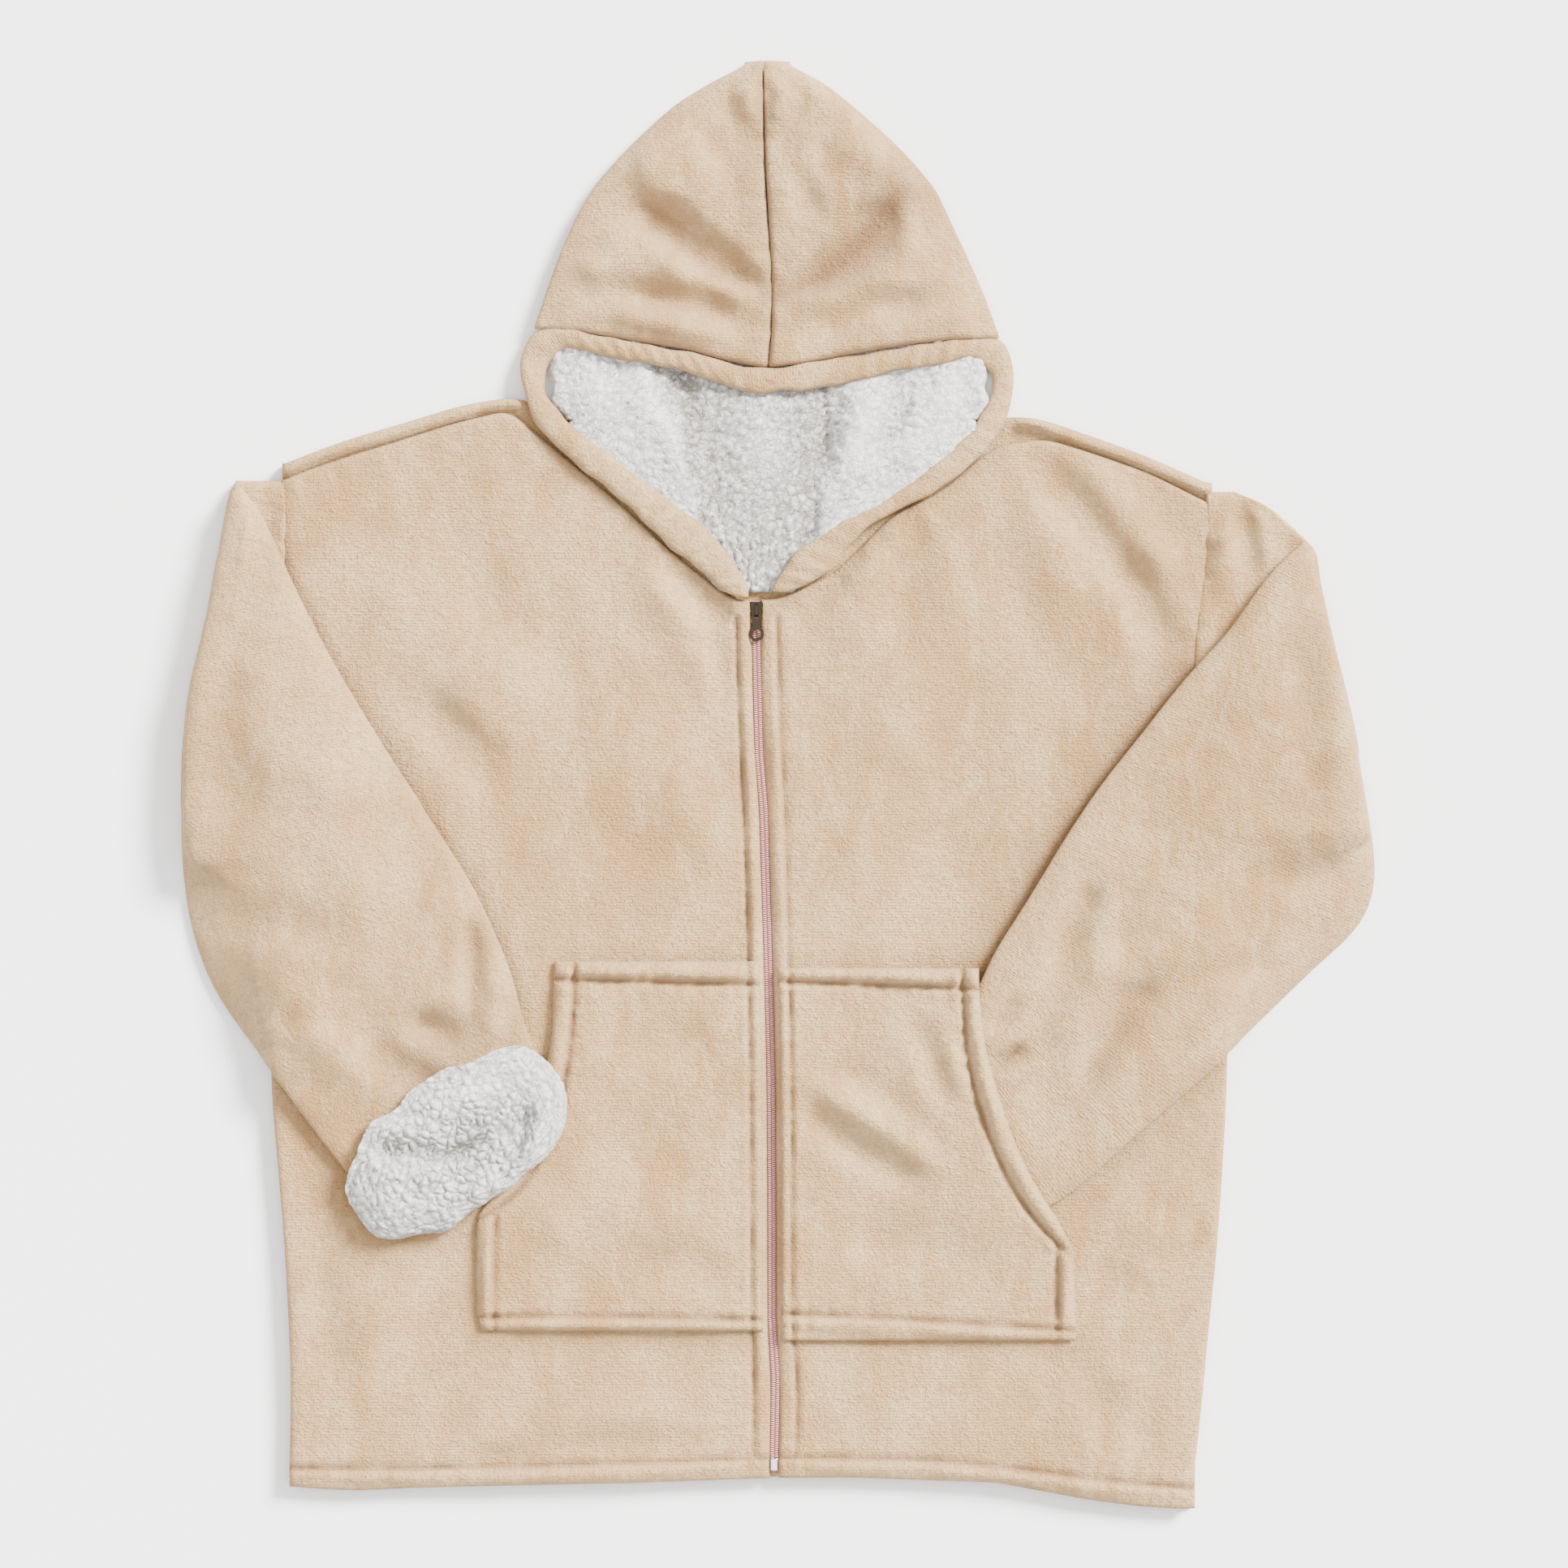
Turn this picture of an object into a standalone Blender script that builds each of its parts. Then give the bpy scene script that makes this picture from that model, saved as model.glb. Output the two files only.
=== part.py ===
# Oversized zip-through hooded top, laid flat with its front up.
# Every panel is lined cloth: short-pile fleece outside and a curly lining inside, sewn as one wall.
# Tables are in millimetres and meshes in metres. +X is the viewer's right, +Y runs to the hood, +Z is up.

from collections import namedtuple
from math import cos, exp, hypot, pi, radians, sin, sqrt

import bmesh
import bpy
from mathutils import Vector
from mathutils.bvhtree import BVHTree

MM = 0.001

# Cloth and seams
SEAM_GAP = 0.35
LINED_WALL = 8.0
FLEECE_WALL = 3.2
LINING_WALL = 5.0
POCKET_WALL = 6.5
BAND_HEIGHT = 11.0
CROWN_WALL = 10.0
HEAD_HEIGHT = 16.0
SLEEVE_WALL = 12.0
SLEEVE_SLIT_SHARE = 0.09
EDGE_ROLL = 8.0
EDGE_SHARE = 0.3
HEM_STITCH = 14.0
BAND_STITCH = 14.0
STITCH_DEPTH = 1.8
STITCH_WIDTH = 3.0
CROWN_LENGTH = 205.0
LINING_SWELL = 4.0
SLEEVE_ROWS = 17
SLEEVE_HALF_SIDES = 9
SLIT_START_ROW = 5
BRIDGE_PASSES = 6
SHOULDER_WRAP = 12.0
REST_RINGS = (0.0, 0.5, 1.0, 1.7, 2.6, 3.8, 5.4)
REST_SIDES = 12
CLEARANCE_PASSES = 3
CLEARANCE_PROBES = 8
HEM_Y = -500.0
SHOULDER_Y = 230.0

# Zip
ZIP_HALF_GAP = 5.3
TAPE_WIDTH = 9.0
TAPE_LOW = 11.0
TAPE_HIGH = 12.2
CHAIN_WIDTH = 6.0
CHAIN_HEIGHT = 2.5
SLIDER_WIDTH = 9.8
SLIDER_TOP_Y = 130.3
SLIDER_LOW_Y = 119.5
SLIDER_HEIGHT = 3.7
PULL_Y = 123.5
PULL_CLEAR = 1.1
PULL_THICK = 1.2
PULL_BAR = 3.6
PULL_WINDOW_HALF = 1.6
PULL_WINDOW_END = 5.6
PULL_NECK = 3.1
RING_CENTRE = 16.3
RING_RADIUS = 5.35
RING_HOLE = 3.2
BAIL_HALF = 1.1
BAIL_BACK = 3.6
BAIL_FRONT = 5.0
BAIL_RISE = 3.2
BAIL_WIRE = 1.0
BOX_WIDTH = 5.0
BOX_LOW_Y = -490.8
BOX_TOP_Y = -482.0
BOX_HEIGHT = 3.4

# Turned cuff of the free sleeve
CUFF_X = -230.0
CUFF_Y = -261.0
CUFF_LONG = 83.0
CUFF_SHORT = 46.0
CUFF_TURN = 24.0
CUFF_RISE = 24.0
CUFF_MOUTH_LONG = 12.0
CUFF_MOUTH_SHORT = 2.2
CUFF_MOUTH_DIP = 6.0
CUFF_RIM_SHARE = 0.3
CUFF_ROUND_FROM = 0.62
CUFF_DIP_TO = 0.42
CUFF_AROUND = 24
CUFF_STEPS = 6
WRIST_ARC = 23.0

Point = namedtuple("Point", "x y")
Span = namedtuple("Span", "y left right")
Rung = namedtuple("Rung", "inner_x inner_y outer_x outer_y height")
Strip = namedtuple("Strip", "outer_x outer_y inner_x inner_y")
Fold = namedtuple("Fold", "path height width")
Edge = namedtuple("Edge", "roll stitch")
Drape = namedtuple("Drape", "slope reach")

CUT = Edge(0.0, None)
ROLLED = Edge(EDGE_ROLL, None)
SEWN = Edge(4.0, None)
HEMMED = Edge(EDGE_ROLL, HEM_STITCH)
BANDED = Edge(EDGE_ROLL, BAND_STITCH)
PLACKET = Edge(5.0, BAND_STITCH)
CAUGHT = Edge(5.0, None)

# How steeply each piece falls off what it lies on, and how far it bridges level
PANEL_DRAPE = Drape(0.35, 9.0)
CROWN_DRAPE = Drape(1.1, 9.0)
BAND_DRAPE = Drape(0.9, 8.0)
SLEEVE_DRAPE = Drape(0.45, 15.0)
POCKET_DRAPE = Drape(0.4, 10.0)
FILLED_POCKET_DRAPE = Drape(0.32, 14.0)
CUFF_DRAPE = Drape(0.4, 9.0)

ZIP_LINE = [
    Point(-17.1, 132.0), Point(-17.1, 96.3), Point(-15.4, 20.9), Point(-11.9, -19.7),
    Point(-10.2, -77.7), Point(-6.7, -205.3), Point(-6.1, -317.3), Point(-6.1, -381.1),
    Point(-3.4, -424.0), Point(-4.4, -479.7), Point(-4.4, -492.0),
]

# Sides of the body from the shoulder down to the hem
LEFT_SIDE = [
    Point(-357.0, 230.0), Point(-355.8, 189.7), Point(-357.5, 120.0), Point(-354.0, 38.0),
    Point(-361.0, -120.0), Point(-364.5, -219.8), Point(-358.7, -277.8), Point(-352.4, -366.0),
    Point(-349.5, -456.5), Point(-351.8, -500.0),
]
RIGHT_SIDE = [
    Point(309.5, 230.0), Point(308.3, 179.2), Point(304.2, 147.9), Point(295.5, 88.2),
    Point(302.0, 0.0), Point(314.0, -110.0), Point(320.5, -196.0), Point(317.0, -254.0),
    Point(314.1, -309.7), Point(303.1, -420.5), Point(297.8, -482.6), Point(295.0, -500.0),
]
HEM = [
    Point(-364.0, -495.0), Point(-344.8, -502.9), Point(-322.8, -506.3), Point(-286.2, -504.0),
    Point(-163.9, -501.1), Point(-90.8, -499.4), Point(-14.8, -496.5), Point(43.2, -495.9),
    Point(114.6, -498.2), Point(154.6, -499.4), Point(198.7, -508.1), Point(243.3, -515.0),
    Point(285.7, -518.5), Point(322.0, -511.0),
]
# The back panel wraps forward over the shoulders; between them is its neck seam
BACK_TOP = [
    Point(-366.0, 224.0), Point(-329.7, 240.1), Point(-267.7, 258.7), Point(-209.7, 276.1),
    Point(-190.0, 279.5), Point(-172.0, 262.5), Point(-163.0, 261.4), Point(150.0, 261.4),
    Point(168.0, 265.0), Point(182.0, 263.5), Point(196.3, 258.7),
    Point(242.2, 241.3), Point(272.9, 230.8), Point(295.5, 219.2), Point(322.0, 210.0),
]
LEFT_TOP = [
    Point(-366.0, 214.0), Point(-357.0, 219.0), Point(-317.6, 231.6), Point(-292.6, 239.0),
    Point(-256.0, 254.0), Point(-188.5, 271.0), Point(-174.0, 253.0), Point(-154.6, 233.6),
    Point(-130.6, 214.6), Point(-108.0, 194.0), Point(-84.0, 170.5), Point(-66.0, 157.0),
    Point(-54.0, 145.0), Point(-44.0, 136.5), Point(-30.0, 131.6), Point(-17.0, 131.0),
]
RIGHT_TOP = [
    Point(-17.0, 131.0), Point(6.0, 134.0), Point(20.0, 139.0), Point(33.0, 146.0),
    Point(43.0, 154.0), Point(51.0, 167.0), Point(59.0, 179.0), Point(83.5, 193.4),
    Point(110.5, 206.5), Point(135.6, 224.4), Point(157.0, 245.2), Point(166.0, 252.0),
    Point(207.9, 240.5), Point(262.5, 225.0), Point(283.3, 212.0), Point(307.1, 200.6),
    Point(322.0, 196.0),
]

# Head of each sleeve: the stretch between its armhole seam and the fold where the sleeve turns over the body
LEFT_HEAD = [
    Span(217.0, -384.0, -358.0), Span(205.0, -391.0, -357.2), Span(189.0, -393.5, -356.6),
    Span(152.0, -399.0, -358.2), Span(111.0, -406.5, -358.4), Span(70.0, -418.0, -356.8),
    Span(20.0, -423.0, -356.0), Span(-30.0, -424.0, -358.6), Span(-60.0, -416.0, -360.6),
]
RIGHT_HEAD = [
    Span(209.0, 310.2, 318.0), Span(203.0, 309.8, 338.0), Span(190.0, 309.4, 357.0),
    Span(176.0, 308.8, 377.0), Span(148.0, 305.2, 380.0), Span(118.0, 302.8, 386.0),
    Span(88.0, 299.4, 393.0), Span(40.0, 302.0, 405.0), Span(0.0, 304.8, 411.0),
    Span(-40.0, 307.6, 416.0),
]
LEFT_SLEEVE = [
    Rung(-385.0, 211.5, -392.0, 207.0, 10.0), Rung(-371.0, 198.0, -398.0, 180.0, 14.0),
    Rung(-357.5, 165.0, -405.0, 150.0, 18.0), Rung(-340.2, 127.6, -413.0, 110.0, 20.0),
    Rung(-317.6, 84.1, -424.0, 72.0, 21.0), Rung(-298.0, 52.0, -428.0, 35.0, 22.0),
    Rung(-275.8, 15.7, -429.5, -5.0, 22.0), Rung(-259.0, -9.0, -429.5, -45.0, 22.0),
    Rung(-246.8, -30.2, -427.0, -78.0, 22.0), Rung(-232.3, -51.0, -421.0, -110.0, 22.0),
    Rung(-216.1, -77.7, -408.0, -145.0, 22.0), Rung(-201.6, -110.2, -386.0, -177.5, 21.0),
    Rung(-193.4, -129.3, -367.4, -199.0, 21.0), Rung(-187.6, -150.8, -347.0, -227.0, 20.0),
    Rung(-180.8, -180.0, -311.5, -271.0, 19.0),
]
RIGHT_SLEEVE = [
    Rung(374.0, 173.0, 381.0, 168.0, 10.0), Rung(360.0, 162.4, 385.0, 147.0, 14.0),
    Rung(341.3, 141.3, 390.5, 121.0, 18.0), Rung(321.0, 109.0, 399.0, 86.0, 20.0),
    Rung(293.8, 81.8, 408.5, 50.0, 21.0), Rung(273.0, 56.0, 417.0, 2.0, 22.0),
    Rung(251.0, 27.5, 424.3, -36.0, 22.0), Rung(234.0, 7.0, 431.6, -74.0, 22.0),
    Rung(219.0, -14.0, 416.0, -103.5, 22.0), Rung(200.0, -43.0, 385.0, -129.5, 22.0),
    Rung(183.0, -72.0, 352.0, -162.0, 21.0), Rung(167.0, -97.5, 322.2, -189.7, 20.0),
    Rung(151.5, -121.0, 289.0, -220.5, 19.0), Rung(140.7, -147.0, 253.8, -249.4, 18.0),
    Rung(126.0, -164.0, 222.0, -280.0, 15.0), Rung(106.0, -184.0, 190.0, -305.0, 12.0),
    Rung(82.0, -206.0, 154.0, -318.0, 9.0),
]

LEFT_POCKET = [
    Span(-126.5, -161.0, -8.7), Span(-139.0, -162.1, -8.4), Span(-184.4, -163.3, -7.2),
    Span(-216.9, -170.2, -6.6), Span(-251.7, -180.7, -6.4), Span(-277.0, -191.0, -6.3),
    Span(-292.0, -200.5, -6.2), Span(-305.7, -216.6, -6.1), Span(-340.0, -217.2, -6.1),
    Span(-380.5, -217.0, -6.1), Span(-390.5, -213.0, -6.0),
]
RIGHT_POCKET = [
    Span(-131.0, -8.6, 141.2), Span(-144.4, -8.3, 141.4), Span(-184.4, -7.2, 145.3),
    Span(-205.3, -6.7, 150.5), Span(-232.0, -6.5, 158.6), Span(-261.6, -6.4, 169.7),
    Span(-288.3, -6.3, 183.0), Span(-309.0, -6.2, 196.4), Span(-325.4, -6.1, 210.0),
    Span(-360.0, -6.1, 210.4), Span(-397.3, -6.1, 210.8),
]

# Silhouette of the hood, each half from the brim to the tip
LEFT_HOOD_EDGE = [
    Point(-176.4, 325.2), Point(-169.7, 345.1), Point(-161.5, 368.9), Point(-147.0, 403.7),
    Point(-127.3, 435.6), Point(-103.0, 460.5), Point(-76.3, 486.0), Point(-40.0, 508.0),
    Point(-19.4, 517.9),
]
RIGHT_HOOD_EDGE = [
    Point(157.0, 318.5), Point(150.0, 338.0), Point(144.7, 352.6), Point(126.2, 392.7),
    Point(109.9, 427.5), Point(86.1, 454.1), Point(61.8, 476.8), Point(19.4, 509.8),
    Point(-2.0, 518.3),
]
CENTRE_SEAM = [
    Point(-10.2, 297.5), Point(-6.7, 308.0), Point(-6.1, 358.4), Point(-8.4, 397.9),
    Point(-11.3, 451.2), Point(-12.5, 514.0),
]
# Topstitched line over the brim, where the hood's halves meet the rolled band
LEFT_BRIM = [
    Point(-176.4, 325.2), Point(-163.3, 325.4), Point(-132.5, 321.3), Point(-103.0, 316.1),
    Point(-71.1, 310.9), Point(-50.2, 306.8), Point(-25.8, 298.6), Point(-10.2, 297.5),
]
RIGHT_BRIM = [
    Point(157.0, 318.5), Point(144.7, 318.4), Point(118.0, 317.3), Point(88.5, 313.2),
    Point(56.6, 308.0), Point(16.5, 300.5), Point(-10.2, 297.5),
]
BRIM_BAND = [
    Strip(-176.6, 320.5, -166.5, 296.0), Strip(-163.3, 324.6, -156.0, 306.4),
    Strip(-147.0, 322.4, -140.7, 308.6), Strip(-132.5, 320.5, -122.1, 305.1),
    Strip(-103.0, 315.3, -98.0, 301.5), Strip(-71.1, 309.6, -64.0, 294.0),
    Strip(-50.2, 305.2, -39.2, 284.8), Strip(-25.8, 297.0, -23.5, 279.6),
    Strip(-10.2, 296.6, -8.0, 279.8), Strip(16.5, 299.7, 14.0, 281.6),
    Strip(56.6, 307.2, 52.0, 287.5), Strip(88.5, 312.4, 84.0, 295.6),
    Strip(118.0, 316.5, 113.0, 300.3), Strip(142.0, 317.4, 134.9, 301.0),
    Strip(158.0, 314.0, 147.4, 294.5),
]
LEFT_BAND = [
    Strip(-178.6, 316.0, -167.4, 293.5), Strip(-183.6, 291.7, -168.2, 286.0),
    Strip(-182.6, 275.5, -165.9, 277.3), Strip(-172.6, 254.0, -156.3, 262.2),
    Strip(-153.4, 234.9, -138.0, 245.6), Strip(-129.6, 216.4, -114.0, 228.6),
    Strip(-106.8, 196.2, -90.0, 210.5), Strip(-82.6, 172.8, -66.0, 192.2),
    Strip(-63.6, 158.6, -43.0, 171.0), Strip(-51.4, 146.8, -28.0, 151.5),
    Strip(-41.0, 138.0, -23.8, 140.0), Strip(-30.4, 133.2, -22.9, 133.4),
]
RIGHT_BAND = [
    Strip(160.0, 309.5, 148.2, 291.7), Strip(166.2, 291.7, 149.4, 284.0),
    Strip(165.6, 275.5, 147.6, 272.4), Strip(155.7, 247.1, 137.8, 254.0),
    Strip(134.3, 226.2, 116.0, 232.6), Strip(109.3, 208.2, 92.0, 213.0),
    Strip(82.7, 194.9, 66.0, 196.6), Strip(57.4, 181.0, 46.0, 188.4),
    Strip(48.8, 169.2, 27.5, 177.8), Strip(40.4, 156.8, 14.0, 167.0),
    Strip(30.4, 148.8, 4.0, 156.0), Strip(18.0, 141.8, -2.5, 146.5),
    Strip(4.4, 136.6, -6.6, 137.4),
]
HOOD_INSIDE = [
    Span(262.0, -143.0, 132.0), Span(270.0, -156.0, 140.0), Span(285.0, -167.0, 150.0), Span(318.0, -163.0, 143.0),
    Span(352.0, -153.0, 130.0), Span(392.0, -137.0, 111.0), Span(430.0, -114.0, 91.0),
    Span(462.0, -83.0, 59.0), Span(484.0, -59.0, 37.0), Span(500.0, -30.0, 12.0),
]
NECK_INSIDE = [
    Span(137.0, -38.0, 3.0), Span(152.0, -50.0, 22.0), Span(172.0, -68.0, 40.0),
    Span(190.0, -88.0, 66.0), Span(208.0, -110.0, 100.0), Span(226.0, -134.0, 126.0),
    Span(246.0, -158.0, 148.0), Span(261.6, -143.0, 133.0),
]

BODY_FOLDS = [
    Fold([(179.5, 235.0), (221.0, 190.0), (252.0, 152.0), (266.5, 117.0), (275.0, 61.0)], -3.0, 13.0),
    Fold([(206.0, 232.0), (250.0, 186.0), (284.0, 140.0)], 3.2, 17.0),
    Fold([(-265.0, 70.0), (-222.0, 21.0), (-193.0, -7.0)], -2.5, 16.0),
    Fold([(-300.0, 150.0), (-232.0, 92.0), (-150.0, 30.0)], 2.6, 26.0),
    Fold([(-88.0, 158.0), (-58.0, 134.0), (-32.0, 112.0)], -2.4, 8.0),
    Fold([(60.0, 170.0), (34.0, 140.0), (16.0, 124.0)], -2.0, 8.0),
    Fold([(-140.0, 60.0), (-90.0, 0.0), (-40.0, -50.0)], 2.0, 22.0),
    Fold([(120.0, 120.0), (70.0, 20.0), (40.0, -80.0)], 1.8, 24.0),
    Fold([(-240.0, -488.0), (-120.0, -474.0), (-40.0, -468.0)], -2.2, 10.0),
    Fold([(-300.0, -400.0), (-270.0, -320.0)], 2.2, 22.0),
    Fold([(250.0, -360.0), (272.0, -300.0)], 2.2, 20.0),
    Fold([(225.0, -430.0), (262.0, -480.0)], -1.8, 14.0),
]
HOOD_FOLDS = [
    Fold([(-103.0, 419.0), (-61.0, 379.0), (-37.0, 364.0), (-7.0, 353.0)], -3.4, 13.0),
    Fold([(83.0, 419.0), (57.0, 382.0), (30.0, 361.0), (1.0, 350.0)], -3.4, 13.0),
    Fold([(-130.0, 358.0), (-90.0, 353.0), (-50.0, 339.0), (-12.0, 329.0)], -2.4, 10.0),
    Fold([(-110.0, 440.0), (-70.0, 446.0), (-30.0, 430.0)], 3.0, 20.0),
    Fold([(70.0, 440.0), (40.0, 446.0), (8.0, 430.0)], 3.0, 20.0),
    Fold([(-130.0, 385.0), (-90.0, 372.0), (-50.0, 356.0)], 2.6, 13.0),
    Fold([(106.0, 385.0), (66.0, 352.0), (20.0, 338.0)], 2.8, 15.0),
]
LINING_FOLDS = [
    Fold([(-106.0, 305.0), (-97.0, 273.0), (-79.0, 253.0), (-62.0, 218.0)], 4.0, 12.0),
    Fold([(-67.0, 300.0), (-66.0, 253.0), (-65.0, 225.0)], -2.0, 7.0),
    Fold([(39.0, 300.0), (37.0, 253.0), (36.0, 227.0), (27.0, 209.0)], -2.0, 7.0),
    Fold([(66.0, 300.0), (60.0, 250.0), (46.0, 205.0)], 4.0, 13.0),
    Fold([(-140.0, 300.0), (-120.0, 262.0), (-96.0, 226.0)], 3.4, 14.0),
    Fold([(122.0, 292.0), (104.0, 250.0), (84.0, 222.0)], 3.4, 14.0),
]
POCKET_FOLDS = [
    Fold([(21.0, -213.0), (55.0, -235.0), (90.0, -256.0), (119.0, -275.0)], 3.2, 12.0),
    Fold([(24.0, -236.0), (60.0, -262.0), (104.0, -292.0)], -2.2, 9.0),
    Fold([(116.0, -187.0), (132.0, -222.0)], 2.0, 9.0),
    Fold([(-180.0, -330.0), (-120.0, -300.0), (-60.0, -310.0)], 1.8, 20.0),
]
SLEEVE_FOLDS = [
    Fold([(214.0, -90.0), (200.0, -118.0), (188.0, -144.0)], -3.0, 9.0),
    Fold([(268.0, -136.0), (239.0, -177.0), (223.0, -206.0), (208.5, -227.0)], -3.4, 10.0),
    Fold([(246.0, -108.0), (214.0, -160.0), (186.0, -200.0)], 3.0, 12.0),
    Fold([(175.5, -186.0), (160.0, -197.0), (148.0, -203.0)], -3.0, 7.0),
    Fold([(330.0, 40.0), (318.0, -20.0), (296.0, -70.0)], 2.4, 22.0),
    Fold([(372.0, 110.0), (376.0, 40.0), (386.0, -30.0)], -2.2, 14.0),
    Fold([(-219.0, -101.0), (-219.0, -134.0), (-216.0, -165.0)], -3.0, 8.0),
    Fold([(-266.0, -168.0), (-244.0, -176.0), (-222.0, -182.0)], -3.4, 10.0),
    Fold([(-330.0, 40.0), (-316.0, -40.0), (-284.0, -110.0)], 2.4, 24.0),
    Fold([(-392.0, 100.0), (-394.0, 20.0), (-384.0, -60.0)], -2.2, 15.0),
    Fold([(-350.0, -150.0), (-318.0, -190.0), (-288.0, -222.0)], 2.4, 14.0),
]
HEAD_FOLDS = [
    Fold([(315.0, 187.0), (316.0, 160.0), (316.0, 133.0)], 2.6, 8.0),
    Fold([(331.0, 198.0), (326.0, 186.0), (337.0, 165.0), (340.0, 144.0)], -2.6, 6.0),
    Fold([(-366.0, 204.0), (-366.0, 176.0)], -2.4, 6.0),
]


def between(a, b, share):
    return a + (b - a) * share


def clamped(value):
    return min(1.0, max(0.0, value))


def eased(value):
    value = clamped(value)
    return value * value * (3.0 - 2.0 * value)


# A smooth graph through rows of (at, value), with at rising
def graph(rows):
    rows = sorted(rows)
    steps = [(b[1] - a[1]) / (b[0] - a[0]) for a, b in zip(rows, rows[1:])]
    slopes = [steps[0]]
    for before, after in zip(steps, steps[1:]):
        slopes.append(0.0 if before * after <= 0.0 else 2.0 * before * after / (before + after))
    slopes.append(steps[-1])

    def value(at):
        if at <= rows[0][0]:
            return rows[0][1]
        if at >= rows[-1][0]:
            return rows[-1][1]
        k = max(i for i, row in enumerate(rows) if row[0] <= at)
        k = min(k, len(rows) - 2)
        run = rows[k + 1][0] - rows[k][0]
        t = (at - rows[k][0]) / run
        start = (1 + 2 * t) * (1 - t) ** 2 * rows[k][1] + t * (1 - t) ** 2 * run * slopes[k]
        end = t * t * (3 - 2 * t) * rows[k + 1][1] + t * t * (t - 1) * run * slopes[k + 1]
        return start + end

    return value


# A smooth path through tuples of numbers, read at 0 to 1 by its length over the first two columns
def path(rows):
    reach = [0.0]
    for a, b in zip(rows, rows[1:]):
        reach.append(reach[-1] + max(hypot(b[0] - a[0], b[1] - a[1]), 1e-6))
    columns = [graph([(s / reach[-1], row[i]) for s, row in zip(reach, rows)]) for i in range(len(rows[0]))]
    return lambda share: [column(share) for column in columns]


def fold_lift(x, y, folds):
    lift = 0.0
    for fold in folds:
        nearest, at = 1e9, 0.0
        legs = list(zip(fold.path, fold.path[1:]))
        for k, (a, b) in enumerate(legs):
            run_x, run_y = b[0] - a[0], b[1] - a[1]
            t = clamped(((x - a[0]) * run_x + (y - a[1]) * run_y) / (run_x * run_x + run_y * run_y))
            away = hypot(x - a[0] - t * run_x, y - a[1] - t * run_y)
            if away < nearest:
                nearest, at = away, (k + t) / len(legs)
        ends = eased(at / 0.25) * eased((1.0 - at) / 0.25)
        lift += fold.height * (0.25 + 0.75 * ends) * exp(-((nearest / fold.width) ** 2))
    return lift


zip_x = graph([(p.y, p.x) for p in ZIP_LINE])
left_side = graph([(p.y, p.x) for p in LEFT_SIDE])
right_side = graph([(p.y, p.x) for p in RIGHT_SIDE])
hem_y = graph(HEM)
trees = {}


def finish_object(name, mesh_source, material):
    mesh = bpy.data.meshes.new(name)
    bmesh.ops.recalc_face_normals(mesh_source, faces=mesh_source.faces)
    mesh_source.to_mesh(mesh)
    trees[name] = BVHTree.FromBMesh(mesh_source)
    mesh_source.free()
    mesh.shade_smooth()
    mesh.set_sharp_from_angle(angle=radians(50))
    mesh.materials.append(material)
    piece = bpy.data.objects.new(name, mesh)
    bpy.context.scene.collection.objects.link(piece)
    return piece


# Height in millimetres of the named pieces under a place, or of the surface that everything lies on
def top_at(x, y, names):
    top = None
    for name in names:
        hit = trees[name].ray_cast(Vector((x * MM, y * MM, 1.0)), Vector((0.0, 0.0, -1.0)))[0]
        if hit is not None and (top is None or hit.z / MM > top):
            top = hit.z / MM
    return top


# Cloth bridges what is under it: level within the reach of one cell, then falling no faster than slope
def rest_at(x, y, names, drape):
    best = 0.0
    for ring in REST_RINGS:
        radius = ring * drape.reach
        for k in range(REST_SIDES if ring else 1):
            turn = 2.0 * pi * k / REST_SIDES
            top = top_at(x + radius * cos(turn), y + radius * sin(turn), names)
            if top is not None:
                best = max(best, top + SEAM_GAP - drape.slope * max(0.0, radius - drape.reach))
    return best


# Height inside a cell at shares a and b, whichever way its four corners are split into triangles
def lowest_in_cell(heights, a, b):
    near, right, far, both = heights
    if a >= b:
        one = near + a * (far - near) + b * (both - far)
    else:
        one = near + b * (right - near) + a * (both - right)
    if a + b <= 1.0:
        other = near + a * (far - near) + b * (right - near)
    else:
        other = both + (1.0 - a) * (right - both) + (1.0 - b) * (far - both)
    return min(one, other)


# Extra lift for each point of a grid of (x, y, low) so that no cell cuts into the named pieces under it
def clearance(grid, names):
    lifts = [[0.0] * len(row) for row in grid]
    probes = [k / CLEARANCE_PROBES for k in range(CLEARANCE_PROBES + 1)]
    for _ in range(CLEARANCE_PASSES):
        for i in range(len(grid) - 1):
            for j in range(len(grid[0]) - 1):
                corners = ((i, j), (i, j + 1), (i + 1, j), (i + 1, j + 1))
                short = 0.0
                for a in probes:
                    for b in probes:
                        shares = ((1 - a) * (1 - b), (1 - a) * b, a * (1 - b), a * b)
                        x, y = (sum(s * grid[r][c][n] for s, (r, c) in zip(shares, corners)) for n in (0, 1))
                        top = top_at(x, y, names)
                        if top is not None:
                            low = lowest_in_cell([grid[r][c][2] + lifts[r][c] for r, c in corners], a, b)
                            short = max(short, top + SEAM_GAP - low)
                for r, c in corners:
                    lifts[r][c] += short
    return lifts


def rim_lines(edge):
    if not edge.roll:
        return [0.0]
    lines = [0.0, 0.3 * edge.roll, edge.roll]
    if edge.stitch:
        lines += [edge.stitch, edge.stitch + STITCH_WIDTH]
    return lines


# Shares of a width: close together at its rolled or stitched ends, even between
def spread(width, low, high, cells):
    near = rim_lines(low)
    far = rim_lines(high)
    near_scale = min(1.0, 0.42 * width / max(near[-1], 1.0))
    far_scale = min(1.0, 0.42 * width / max(far[-1], 1.0))
    first = [d * near_scale for d in near]
    last = [width - d * far_scale for d in reversed(far)]
    middle = [between(first[-1], last[0], k / cells) for k in range(1, cells)]
    return [d / width for d in first + middle + last]


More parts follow.
